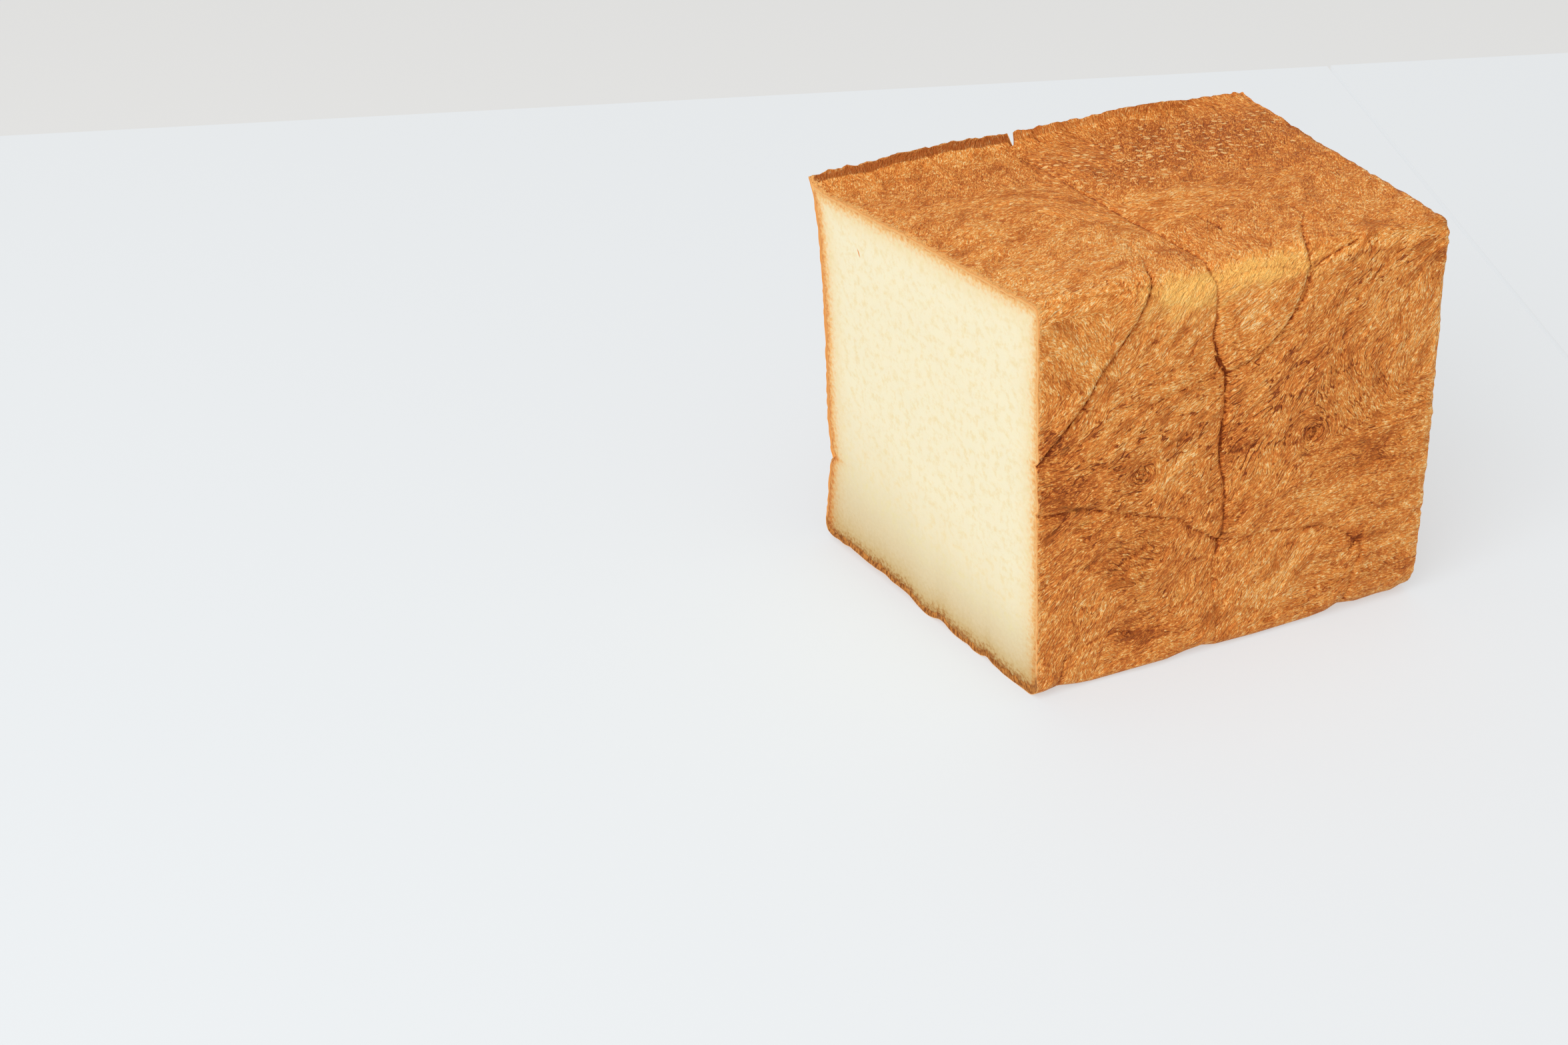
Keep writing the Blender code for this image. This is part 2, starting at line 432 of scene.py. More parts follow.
@dataclass(frozen=True)
class Patch:
    """A soft oval area of the skin. Its strength fades from the middle outwards."""

    along: float
    around: float
    half_length: float
    half_height: float
    strength: float
    turn: float = 0.0

    def cover(self, along: Array, around: Array) -> Array:
        """Find the patch's strength, a bell curve of the distance in half lengths and heights.

        Args:
            along: places along the loaf.
            around: places around it.

        Returns:
            The strength at every place.
        """
        angle = math.radians(self.turn)
        first = (along - self.along) * math.cos(angle) + (around - self.around) * math.sin(angle)
        second = (around - self.around) * math.cos(angle) - (along - self.along) * math.sin(angle)
        far = (first / self.half_length) ** 2 + (second / self.half_height) ** 2
        return self.strength * np.exp(-far)


# -----------------------------------------------
# The loaf's form
# -----------------------------------------------

@dataclass(frozen=True)
class LoafSizes:
    """Driving sizes of the loaf, in mm.

    A drop is how far the top falls at a corner, the waist is the hollow of the back side, and
    the lift is how far the back half of the foot stands off the table at the cut.
    """

    length: float = 132.0
    width: float = 113.0
    height: float = 128.5
    skew: float = 19.3
    lean: float = 1.0
    drop_far_front: float = 2.5
    drop_cut_back: float = 3.3
    drop_far_back: float = 2.3
    waist_depth: float = 5.6
    waist_top_fade: float = 9.0
    waist_foot: float = 33.0
    radius_top_front: float = 4.0
    radius_shoulder: float = 4.0
    shoulder_along: float = 61.0
    shoulder_reach: float = 30.0
    radius_top_back: float = 1.2
    radius_back_foot: float = 4.5
    radius_end: float = 2.5
    lip_thickness: float = 1.4
    lip_slope: float = 9.0
    lip_face: float = 0.7
    lip_hang: float = 7.0
    lip_hang_fade: float = 6.0
    torn_foot: float = 1.7
    torn_reach: float = 4.0
    torn_height: float = 7.0
    slit_half_width: float = 0.8
    cut_lift: float = 2.4
    cut_lift_reach: float = 14.0
    cut_lift_start: float = 56.0
    cut_lift_ramp: float = 12.0
    cut_lift_height: float = 20.0
    underside_fade: float = 4.0

    @property
    def loop(self) -> float:
        """Length of the section's outline before its edges are rounded."""
        return 2.0 * (self.width + self.height)

    @property
    def back_edge(self) -> float:
        """Where the top meets the back, round the section."""
        return self.height + self.width

    @property
    def back_foot(self) -> float:
        """Where the back meets the underside, round the section."""
        return self.back_edge + self.height


# Radius of the folded side's lower edge along the loaf, as (along, radius) in mm
FOOT_RADIUS = ((-2, 4.2), (4, 4.6), (9, 6.4), (15, 4.0), (20, 3.2), (45, 3.2), (52, 5.4), (58, 6.2),
               (62, 4.2), (75, 3.6), (95, 4.4), (101, 5.6), (106, 9.0), (112, 7.0), (120, 7.6),
               (125, 7.2), (129, 9.5), (133, 9.5))

# Top of the thin lip along the back edge, above the top crust there, as (along, rise) in mm
LIP_RISE = ((-20, 3.0), (-12, 3.3), (0, 3.6), (8, 4.1), (14, 4.0), (25, 3.8), (34, 3.9), (42, 4.0),
            (48, 4.1), (55, 3.8), (70, 3.5), (92, 3.5), (102, 2.9), (110, 2.1), (120, 1.6),
            (128, 1.0), (133, 0.6))

# The seam between the two lumps of dough, as (around, along) in mm, once round the section
SEAM_ROUTE = ((0, 61), (7, 61.7), (14, 61.3), (24, 59.4), (32, 59.4), (40, 61.2), (47, 62.2),
              (57, 62.2), (65, 60.2), (72, 60.2), (82, 60.7), (94.5, 60.7), (100, 57.7),
              (107, 55.7), (114, 56.6), (121, 56.5), (131, 55.4), (143, 56.2), (157, 55),
              (169, 53), (181, 51), (191, 50), (204, 49), (214, 48), (226, 46), (234, 45.3),
              (238, 47.2), (241.5, 48.8), (250, 48), (280, 46), (310, 47), (340, 46), (370, 47),
              (483, 61))

# How the seam marks the skin round the section: around, groove, valley (mm) and shade
SEAM_DEPTH = ((0, 0.0, 0.0, 0.15), (8, 0.3, 0.5, 0.2), (34, 0.3, 0.8, 0.2), (39, 0.8, 1.1, 0.75),
              (92, 0.9, 1.3, 0.8), (98, 0.8, 1.2, 0.75), (124, 0.7, 0.9, 0.55),
              (136, 0.5, 1.1, 0.5), (150, 0.4, 1.3, 0.4), (180, 0.3, 1.2, 0.35),
              (205, 0.25, 0.8, 0.3), (222, 0.1, 0.5, 0.1), (230, 0.1, 0.4, 0.2),
              (239, 0.2, 0.2, 0.25), (250, 2.0, 1.0, 0.8), (275, 1.8, 1.4, 0.6),
              (362, 1.6, 1.2, 0.5), (370, 0.0, 0.0, 0.0), (483, 0.0, 0.0, 0.0))


@dataclass(frozen=True)
class LoafForm:
    """The loaf's surface, from the unrolled skin's two measures."""

    sizes: LoafSizes
    creases: tuple[Crease, ...]
    end_creases: tuple[Crease, ...]
    grain: Grain

    def seam(self, around: Array) -> Array:
        """Where the seam runs along the loaf."""
        return read_off(SEAM_ROUTE, np.mod(around, self.sizes.loop))

    def box(self, around: Array) -> tuple[Array, Array]:
        """Fold the unrolled measure into a box's section, one straight side after another.

        Args:
            around: measure round the section.

        Returns:
            Places across and up.
        """
        size = self.sizes
        turns = (0.0, size.height, size.back_edge, size.back_foot, size.loop)
        place = np.mod(around, size.loop)
        across = np.interp(place, turns, (0.0, 0.0, size.width, size.width, 0.0))
        up = np.interp(place, turns, (0.0, size.height, size.height, 0.0, 0.0))
        return across, up

    def cut_plane(self, across: Array, up: Array) -> Array:
        """Where the cut stands along the loaf, at each place on it."""
        size = self.sizes
        return -size.skew * across / size.width + size.lean * (1.0 - up / size.height)

    def radius(self, along: Array, across: Array, up: Array) -> Array:
        """Find the radius of the long edges, blended between the section's four corners.

        Args:
            along: places along the loaf.
            across: places from the folded side to the back.
            up: heights over the table.

        Returns:
            The radius at every place.
        """
        size = self.sizes
        shoulder = np.exp(-((along - size.shoulder_along) / size.shoulder_reach) ** 4)
        front_foot = read_off(FOOT_RADIUS, along)
        back_share = smooth_step(across / size.width)
        top_share = smooth_step(up / size.height)
        top = ((size.radius_top_front + size.radius_shoulder * shoulder) * (1.0 - back_share)
               + size.radius_top_back * back_share)
        under = front_foot * (1.0 - back_share) + size.radius_back_foot * back_share
        return under * (1.0 - top_share) + top * top_share

    def rounded(self, along: Array, across: Array, up: Array) -> tuple[Array, Array]:
        """Round the box's edges, the cut's excepted.

        Each place is compared with the nearest one of a smaller box inside. Its offset from
        there keeps its direction, and the offset's longest part becomes its length.

        Args:
            along: places along the loaf.
            across: places from the folded side to the back.
            up: heights over the table.

        Returns:
            The places and their normals, with three numbers each.
        """
        size = self.sizes
        radius = self.radius(along, across, up)
        inner = np.stack([np.minimum(along, size.length - size.radius_end),
                          np.clip(across, radius, size.width - radius),
                          np.clip(up, radius, size.height - radius)], axis=-1)
        outward = np.stack([along, across, up], axis=-1) - inner
        length = np.maximum(np.linalg.norm(outward, axis=-1, keepdims=True), 1e-9)
        normal = outward / length
        return inner + normal * np.abs(outward).max(axis=-1, keepdims=True), normal

    def seam_relief(self, along: Array, around: Array) -> tuple[Array, Array]:
        """Press the seam: a narrow bell of groove, whose depth and width wander, in a valley.

        Args:
            along: places along the loaf.
            around: places around it.

        Returns:
            Relief and shade at every place. The underside has none.
        """
        gap = along - self.seam(around)
        place = np.mod(around, self.sizes.loop)
        wander = lattice_noise(flat(np.zeros_like(place), place, 9.0), 31)
        depth = read_off(SEAM_DEPTH, place, 1) * (1.0 + 0.25 * wander)
        valley = read_off(SEAM_DEPTH, place, 2)
        strength = read_off(SEAM_DEPTH, place, 3) * (1.0 + 0.3 * wander)
        hollow = valley * (0.6 * bell(gap, 12.0) + 0.4 * bell(gap, 4.0))
        relief = -depth * bell(gap, 0.62 + 0.1 * wander) - hollow
        return relief, strength * bell(gap, SHADE_REACH)

    def broad_relief(self, along: Array, around: Array) -> Array:
        """Swell the skin slowly by two layers of noise. The underside was pressed flat.

        Args:
            along: places along the loaf.
            around: places around it.

        Returns:
            Relief at every place.
        """
        place = np.mod(around, self.sizes.loop)
        swell = 0.42 * lattice_noise(flat(along, place, 21.0), 5)
        swell += 0.24 * lattice_noise(flat(along, place, 8.5), 6)
        return swell * self.above_table(place)

    def above_table(self, place: Array) -> Array:
        """1 on the sides and the top, 0 under the loaf."""
        fade = self.sizes.underside_fade
        return smooth_step(place / fade) * smooth_step((self.sizes.back_foot - place) / fade)

    def fine_relief(self, along: Array, around: Array) -> Array:
        """Mark the skin with streaks along the grain, coarse and fine, and roughen it between.

        Args:
            along: places along the loaf.
            around: places around it.

        Returns:
            Relief at every place.
        """
        place = np.mod(around, self.sizes.loop)
        marks = 0.15 * self.grain.streaks(along, place, 1.5, 5.0, 11)
        marks += 0.07 * self.grain.streaks(along, place, 0.8, 2.6, 12)
        rough = 0.05 * lattice_noise(flat(along, place, 1.1), 13)
        return (marks + rough) * self.above_table(place)

    def folds(self, along: Array, around: Array) -> Pressed:
        """Add up what the seam, the creases and the knots do to every place.

        Args:
            along: places along the loaf, in one row.
            around: places around it.

        Returns:
            The sum of the reliefs, the strongest shade and painted crest highlight, and the
            smallest distance.
        """
        size = self.sizes
        place = np.mod(around, size.loop)
        relief, shade = self.seam_relief(along, place)
        gap = np.minimum(np.abs(along - self.seam(place)), NO_CREASE)
        crest_highlight = np.zeros(along.shape)
        for crease in self.creases:
            pressed = crease.press(along, place)
            relief = relief + pressed.relief
            shade = np.maximum(shade, pressed.shade)
            gap = np.minimum(gap, pressed.gap)
            crest_highlight = np.maximum(crest_highlight, pressed.crest_highlight)
        for knot in self.grain.knots:
            lowered, away = knot.press(along, place)
            relief = relief + lowered
            shade = np.maximum(shade, 0.25 * bell(away, 0.7))
            gap = np.minimum(gap, away)
        return Pressed(relief, shade, gap, crest_highlight)

    def settle(self, place: Array, share: Array, lip: Array) -> Array:
        """Give the box-like places the loaf's slopes, lip, waist, lifted foot and skewed cut.

        Args:
            place: places as along, across and up.
            share: 0 at the cut, 1 at the far end.
            lip: how far each place rises with the lip.

        Returns:
            The settled places.
        """
        size = self.sizes
        along, across, up = place[..., 0], place[..., 1], place[..., 2]
        before = self.cut_plane(np.clip(across, 0.0, size.width), np.clip(up, 0.0, size.height))
        back = across / size.width
        far = size.drop_far_front * (1.0 - back) + size.drop_far_back * back
        drop = size.drop_cut_back * back * (1.0 - share) + far * share
        up = up - drop * (up / size.height) + lip
        from_cut = np.maximum(along - before, 0.0)
        towards_back = smooth_step((across - size.cut_lift_start) / size.cut_lift_ramp)
        low = np.clip(1.0 - up / size.cut_lift_height, 0.0, 1.0)
        up = up + size.cut_lift * np.exp(-from_cut / size.cut_lift_reach) * towards_back * low
        torn = 0.5 + 0.5 * line_noise(across, 8.0, 61) + 0.25 * line_noise(across, 3.1, 62)
        low = np.clip(1.0 - up / size.torn_height, 0.0, 1.0)
        up = up + size.torn_foot * torn ** 2 * np.exp(-from_cut / size.torn_reach) * low
        top = 1.0 - np.exp(-np.maximum(size.height - up, 0.0) / size.waist_top_fade)
        foot = np.clip(up / size.waist_foot, 0.0, 1.0) ** 0.8
        across = across - size.waist_depth * top * foot * smooth_step(across / size.width)
        after = self.cut_plane(across, up)
        along = along + (after - before) * (1.0 - share)
        return np.stack([along, across, up], axis=-1)

    def lip_climb(self, along: Array, place: Array) -> Array:
        """How much of its height the lip has reached: half on a hollow slope, half on its face."""
        size = self.sizes
        slope = np.clip((place - (size.back_edge - size.lip_slope)) / size.lip_slope, 0.0, 1.0)
        face = place - (size.back_edge - self.lip_thickness(along))
        return 0.52 * slope ** 2 + 0.48 * smooth_step(face / size.lip_face)

    def lip_hang(self, place: Array) -> Array:
        """1 above the back edge, falling to 0 where the lip's outer side ends."""
        size = self.sizes
        return smooth_step((size.back_edge + size.lip_hang - place) / size.lip_hang_fade)

    def lip_rise(self, along: Array, around: Array) -> Array:
        """Raise the thin lip along the back edge, with jags on its top and the seam's slit.

        Args:
            along: places along the loaf.
            around: places around it.

        Returns:
            How far every place rises.
        """
        size = self.sizes
        place = np.mod(around, size.loop)
        height = read_off(LIP_RISE, along)
        jags = 0.22 * line_noise(along, 3.1, 41)
        jags += 0.2 * line_noise(along, 1.2, 42)
        fade = smooth_step(height / 3.0)
        rise = self.lip_climb(along, place) * self.lip_hang(place)
        slit = np.exp(-((along - self.seam(place)) / size.slit_half_width) ** 4)
        deep = smooth_step((place - size.back_edge + 4.0) / 3.0)
        return (height * rise + jags * fade * rise ** 6) * (1.0 - 0.95 * slit * deep)

    def lip_unrolled(self, along: Array, around: Array) -> Array:
        """How much longer the way round the skin is, because it goes up and down the lip."""
        climb = self.lip_climb(along, around)
        descent = 1.0 - self.lip_hang(around)
        under = smooth_step((around - self.sizes.back_foot) / self.sizes.width)
        return read_off(LIP_RISE, along) * (climb + descent) * (1.0 - under)

    def lip_thickness(self, along: Array) -> Array:
        """Thickness of the lip along the back edge."""
        return self.sizes.lip_thickness * (1.0 + 0.25 * line_noise(along, 6.0, 43))

    def section(self, around: Array) -> Array:
        """Draw the smooth outline at the cut, before the lip and the finest relief.

        Args:
            around: measure round the section, in one row.

        Returns:
            Places as along, across and up.
        """
        across, up = self.box(around)
        along = self.cut_plane(across, up)
        place, normal = self.rounded(along, across, up)
        relief = self.broad_relief(along, around) + self.folds(along, around).relief
        nothing = np.zeros(around.shape)
        return self.settle(place + normal * relief[..., None], nothing, nothing)

    def shrunk(self, around: Array, wall: float | Array, foot: float | Array) -> Array:
        """Draw the cut's outline in towards its middle, by scaling it.

        Args:
            around: measure round the section, in one row.
            wall: how far the sides and the top come in.
            foot: how far the foot comes in.

        Returns:
            Places as along, across and up, on the cut.
        """
        size = self.sizes
        place = self.section(around)
        across = wall + place[:, 1] * (size.width - 2.0 * wall) / size.width
        up = foot + place[:, 2] * (size.height - wall - foot) / size.height
        return np.stack([self.cut_plane(across, up), across, up], axis=-1)


# -----------------------------------------------
# Meshes
# -----------------------------------------------

# Faces that meet at more than this many degrees keep a sharp edge
SHARP_ANGLE = 65.0


def to_frame(place: Array, size: LoafSizes) -> Array:
    """Move places from the loaf's own measure to the shared frame, in metres."""
    low, high = (np.array(corner) for corner in CAD_BOX)
    origin = np.array([low[0] + size.skew * MM, high[1] - size.width * MM, 0.0])
    return place * MM + origin


@dataclass
class Sheet:
    """Vertices and faces of a piece, with what its material reads, gathered part by part."""

    places: list[Array] = field(default_factory=list)
    faces: list[Array] = field(default_factory=list)
    corners: dict[str, list[Array]] = field(default_factory=dict)
    marks: dict[str, list[Array]] = field(default_factory=dict)
    smooth: list[Array] = field(default_factory=list)
    count: int = 0

    def add_places(self, places: Array, **marks: Array | float) -> Array:
        """Add places.

        Args:
            places: along, across and up of each, in mm.
            marks: what the finish reads there, by name.

        Returns:
            The places' indices, in the same shape.
        """
        flat_places = places.reshape(-1, 3)
        self.places.append(flat_places)
        for name, value in marks.items():
            spread_value = np.broadcast_to(np.asarray(value, dtype=float), places.shape[:-1])
            self.marks.setdefault(name, []).append(spread_value.reshape(-1))
        first = self.count
        self.count += len(flat_places)
        return np.arange(first, self.count).reshape(places.shape[:-1])

    def add_faces(self, faces: Array, smooth: bool = True, **maps: Array) -> None:
        """Add faces that have the same number of corners.

        Args:
            faces: the corners' indices.
            smooth: whether the faces are shaded as one surface.
            maps: values at the corners, for each UV map by name.
        """
        self.faces.append(faces)
        self.smooth.append(np.full(len(faces), smooth))
        for name, value in maps.items():
            self.corners.setdefault(name, []).append(value.reshape(-1, 2))

    def add_strip(self, index: Array, smooth: bool = True, **maps: Array) -> None:
        """Add the four-cornered faces of a grid of indices, with a grid of values per map."""
        corners = {name: quads(value) for name, value in maps.items()}
        self.add_faces(quads(index), smooth, **corners)

    def build(self, name: str, size: LoafSizes, material: bpy.types.Material) -> bpy.types.Object:
        """Make the object, in metres in the shared frame, and dress it.

        Args:
            name: the piece's name.
            size: the loaf's sizes.
            material: the piece's finish.

        Returns:
            The object, at the origin.
        """
        mesh = bpy.data.meshes.new(name)
        faces = [tuple(face) for part in self.faces for face in part.tolist()]
        mesh.from_pydata(to_frame(np.vstack(self.places), size).tolist(), [], faces)
        for map_name, parts in self.corners.items():
            layer = mesh.uv_layers.new(name=map_name)
            layer.uv.foreach_set("vector", np.vstack(parts).astype(np.float32).ravel())
        for mark, parts in self.marks.items():
            attribute = mesh.attributes.new(mark, "FLOAT", "POINT")
            attribute.data.foreach_set("value", np.concatenate(parts).astype(np.float32))
        mesh.polygons.foreach_set("use_smooth", np.concatenate(self.smooth))
        mesh.set_sharp_from_angle(angle=math.radians(SHARP_ANGLE))
        mesh.validate()
        mesh.materials.append(material)
        thing = bpy.data.objects.new(name, mesh)
        bpy.context.scene.collection.objects.link(thing)
        return thing


def quads(grid: Array) -> Array:
    """The four corners of each cell of a grid, in turn round the cell."""
    corners = (grid[:-1, :-1], grid[1:, :-1], grid[1:, 1:], grid[:-1, 1:])
    return np.stack(corners, axis=2).reshape((-1, 4) + grid.shape[2:])


# Fine steps in which a spread of places is worked out
SPREAD_STEPS = 4000


def spread(count: int, length: float, bumps: Sequence[tuple[float, float, float]]) -> Array:
    """Places along a length, closer together at the bumps.

    Args:
        count: number of gaps between the places.
        length: the whole length.
        bumps: middle, reach and strength of each; a strength of 1 doubles the density.

    Returns:
        One more place than there are gaps, from 0 to the length.
    """
    fine = np.linspace(0.0, length, SPREAD_STEPS + 1)
    density = np.ones_like(fine)
    for middle, reach, strength in bumps:
        density += strength * bell(fine - middle, reach)
    total = np.concatenate([[0.0], np.cumsum(0.5 * (density[1:] + density[:-1]))])
    return np.interp(np.linspace(0.0, total[-1], count + 1), total, fine)


def coons(front: Array, back: Array, under: Array, top: Array) -> Array:
    """Fill four boundary lines with a grid.

    The grid is the sum of the two pairs' blends less the corners' own blend.

    Args:
        front: the line up the front.
        back: the line up the back.
        under: the line from front to back at the bottom.
        top: the line from front to back at the top.

    Returns:
        Places in rows upwards and columns from front to back.
    """
    rise = np.linspace(0.0, 1.0, len(front))[:, None, None]
    run = np.linspace(0.0, 1.0, len(under))[None, :, None]
    sides = (1.0 - run) * front[:, None] + run * back[:, None]
    ends = (1.0 - rise) * under[None, :] + rise * top[None, :]
    corners = ((1.0 - rise) * ((1.0 - run) * under[0] + run * under[-1])
               + rise * ((1.0 - run) * top[0] + run * top[-1]))
    return sides + ends - corners


@dataclass(frozen=True)
class LoopCells:
    """How many cells of a grid lie up a side and across the top."""

    up: int
    over: int

    def rows(self, size: LoafSizes) -> Array:
        """Space the lines round the section, closer together at the edges.

        Args:
            size: the loaf's sizes.

        Returns:
            Each line's measure round the section, from the folded side's foot and back there.
        """
        side = spread(self.up, size.height, ((0, 7, 0.6), (size.height, 9, 0.7)))
        over = spread(self.over, size.width, ((0, 8, 0.5), (size.width - 1, 2.0, 3.5)))
        down = spread(self.up, size.height, ((0, 3, 1.5), (size.height, 7, 0.6)))
        under = spread(self.over, size.width, ((0, 7, 0.6), (size.width, 7, 0.6)))
        return np.concatenate([side, size.height + over[1:], size.back_edge + down[1:],
                               size.back_foot + under[1:]])

    def sides(self, ring: Array) -> tuple[Array, Array, Array, Array]:
        """Split a closed ring of values into a grid's four boundary lines.

        Args:
            ring: values in the order of the lines round the section.

        Returns:
            The front, back, under and top lines.
        """
        closed = np.concatenate([ring, ring[:1]])
        up, over = self.up, self.over
        front = closed[:up + 1]
        top = closed[up:up + over + 1]
        back = closed[up + over:2 * up + over + 1][::-1]
        under = closed[2 * up + over:][::-1]
        return front, back, under, top


@dataclass(frozen=True)
class Wall:
    """The crust's thin wall at the cut and the crumb's fit inside it, in mm.

    Both pieces go back by the depth and in by the taper, the crumb by a spare bit less deep.
    It overlaps the wall, a recess behind its edge. The back's edge is the most baked one: by
    the last two sizes, places near it have the colours of places further out.
    """

    side: float = 1.0
    foot: float = 2.2
    depth: float = 3.0
    taper: float = 2.5
    overlap: float = 0.6
    recess: float = 0.1
    spare: float = 0.5
    back_rim_shift: float = 1.0
    browned_back: float = 0.75


# What the finish reads where nothing else is said
PLAIN_MARKS = {"crease": 0.0, "gap": NO_CREASE, "tone": 0.0, "pale": 0.0, "lip": 0.0,
               "edge": 0.0, "blister": 0.0, "cracked": 0.0, "rim": 0.0, "grain_c": 1.0,
               "grain_s": 0.0}
# The rim mark of the skin, which is no part of the cut's rim
NOT_RIM = -1.0
# Where the far end and the rim lie in the skin's map, clear of the four long sides, in mm
END_SHIFT = np.array([160.0, 0.0])
RIM_SHIFT = 300.0
# How much of its own length the rim, and the underside, take up in the bake map
RIM_SQUEEZE = 0.55
UNDER_SQUEEZE = 0.22
# Sides of the square sheets, in mm, that the crust's and the crumb's bake maps stand for
BAKE_CRUST = 303.0
BAKE_CRUMB = 140.0


class BakeLayout(Enum):
    """Corner of each part's area in the crust's bake map, in mm of its square sheet."""

    FRONT = (1.0, 1.0)
    BACK = (135.5, 1.0)
    END = (135.5, 157.5)
    RIM = (1.0, 290.0)

    def spot(self, first: Array, second: Array) -> Array:
        """Map values for a part's own two measures in mm."""
        return np.stack([self.value[0] + first, self.value[1] + second], axis=-1) / BAKE_CRUST


@dataclass(frozen=True)
class Crust:
    """The loaf's crust: the four long sides, the far end, and the cut's thin rim.

    Sizes are in mm. The areas are the patches of each mark that they add up to.
    """

    form: LoafForm
    wall: Wall
    areas: dict[str, tuple[Patch, ...]]
    cells: LoopCells = LoopCells(up=120, over=104)
    stations_before: int = 76
    stations_after: int = 88
    torn_edge: float = 0.28
    torn_edge_size: float = 1.5
    torn_edge_reach: float = 1.2
    foot_edge_shift: float = 0.9
    # how much the painted highlight on a proud fold's brow lightens the tone
    crest_highlight_strength: float = 0.5

    def grid(self) -> tuple[Array, Array, Array]:
        """Lay lines round the section from the cut to the far end, one of them in the seam.

        Returns:
            The share of the way from the cut to the far end, and the measures along and
            around, of every place, drawn in to the creases.
        """
        size = self.form.sizes
        rows = self.cells.rows(size)[:-1]
        before = spread(self.stations_before, 1.0, ((0.0, 0.03, 1.5), (1.0, 0.07, 2.2)))
        after = spread(self.stations_after, 1.0, ((0.0, 0.06, 2.2), (1.0, 0.08, 0.6)))
        around = np.broadcast_to(rows, (len(before) + len(after) - 1, len(rows))).copy()
        across, up = self.form.box(rows)
        start = self.form.cut_plane(across, up)
        line = self.form.seam(rows)
        along = np.vstack([start + before[:, None] * (line - start),
                           line + after[1:, None] * (size.length - line)])
        inside = smooth_step((along - start) / 3.0) * smooth_step((size.length - along) / 6.0)
        for crease in self.form.creases:
            drawn_along, drawn_around = crease.pull(along.ravel(), around.ravel())
            along = along + (drawn_along.reshape(along.shape) - along) * inside
            around = around + (drawn_around.reshape(along.shape) - around) * inside
        share = np.clip((along - start) / (size.length - start), 0.0, 1.0)
        return share, along, around

    def lip_mark(self, along: Array, place: Array) -> Array:
        """Mark the lip: dark on its inner face and outer side, paler on its thin top.

        Args:
            along: places along the loaf.
            place: measure round the section.

        Returns:
            0 to 1 at every place, less beyond the seam and least at the far end.
        """
        size = self.form.sizes
        thick = self.form.lip_thickness(along)
        lip = smooth_step((place - (size.back_edge - thick - 0.5)) / 0.5)
        lip = lip * smooth_step((size.back_edge + 5.0 - place) / 4.0)
        top = 0.75 * smooth_step((place - size.back_edge + 0.6 * thick) / 0.3)
        lip = lip * (1.0 - top * smooth_step((size.back_edge + 0.5 - place) / 0.5))
        lip = lip * (0.4 + 0.6 * smooth_step((52.0 - along) / 5.0))
        return lip * smooth_step((134.0 - along) / 30.0)

    def marks(self, along: Array, around: Array) -> dict[str, Array]:
        """Find what the finish reads on the four long sides.

        Args:
            along: places along the loaf.
            around: places around it.

        Returns:
            A value for every place, by the mark's name.
        """
        form, size = self.form, self.form.sizes
        place = np.mod(around, size.loop)
        folds = form.folds(along.ravel(), place.ravel())
        cosine, sine = form.grain.lean(along, place)
        marks = {name: sum(patch.cover(along, place) for patch in patches)
                 for name, patches in self.areas.items()}
        for name in ("pale", "blister", "cracked"):
            marks[name] = np.clip(marks[name], 0.0, 1.0)
        # a painted highlight on the brows of proud folds, added to the tone
        marks["tone"] = marks["tone"] + self.crest_highlight_strength * folds.crest_highlight.reshape(along.shape)
        edge = along - form.cut_plane(*form.box(place))
        edge = edge + self.foot_edge_shift * (place < size.height - size.radius_top_front)
        rim = np.full(along.shape, NOT_RIM)
        rim[0] = 0.0
        # the crease mark carries the painted shade of the seam, the creases and the knots' rings
        return {**marks, "crease": folds.shade.reshape(along.shape),
                "gap": folds.gap.reshape(along.shape), "lip": self.lip_mark(along, place),
                "edge": edge, "rim": rim, "grain_c": cosine, "grain_s": sine}

    def cap(self, ring_measure: Array) -> tuple[Array, dict[str, Array]]:
        """Shape the far end: the sides' relief at its edge gives way to its own further in.

        Args:
            ring_measure: measure round the section of each place on its edge.

        Returns:
            Places as along, across and up, and their marks.
        """
        form, size = self.form, self.form.sizes
        plane = coons(*self.cells.sides(np.stack(form.box(ring_measure), axis=-1)))
        across, up = plane[..., 0], plane[..., 1]
        gaps = np.stack([across, size.height - up, size.width - across, up])
        around = np.choose(gaps.argmin(axis=0), [up, size.height + across,
                                                 size.back_edge + size.height - up,
                                                 size.back_foot + size.width - across])
        along = np.full(across.shape, size.length)
        skin = (form.broad_relief(along, around) + form.fine_relief(along, around)
                + form.folds(along.ravel(), around.ravel()).relief.reshape(along.shape))
        near_edge = np.exp(-gaps.min(axis=0) / 5.0)
        own = 0.5 * lattice_noise(flat(across, up, 19.0), 51)
        own += 0.25 * lattice_noise(flat(across, up, 7.0), 52)
        own += 0.12 * lattice_noise(flat(across, up, 1.6, 35.0, 3.0), 53)
        shade, nearest = np.zeros(across.size), np.full(across.size, NO_CREASE)
        for crease in form.end_creases:
            pressed = crease.press(across.ravel(), up.ravel())
            own += pressed.relief.reshape(across.shape)
            shade = np.maximum(shade, pressed.shade)
            nearest = np.minimum(nearest, pressed.gap)
        place, normal = form.rounded(along, across, up)
        relief = skin * near_edge + own * (1.0 - near_edge)
        lip = form.lip_rise(along, around) * np.exp(-gaps.min(axis=0) / 1.2)
        settled = form.settle(place + normal * relief[..., None], np.ones(across.shape), lip)
        turn = 2.0 * lattice_noise(flat(across, up, 30.0), 54)
        # the crease mark carries the painted shade of the far end's creases
        marks = {**PLAIN_MARKS, "crease": shade.reshape(across.shape),
                 "gap": nearest.reshape(across.shape), "edge": 90.0, "cracked": 0.4,
                 "tone": 0.25 * lattice_noise(flat(across, up, 22.0), 55),
                 "rim": NOT_RIM, "grain_c": np.cos(turn), "grain_s": np.sin(turn)}
        return settled, {name: np.broadcast_to(value, across.shape)
                         for name, value in marks.items()}

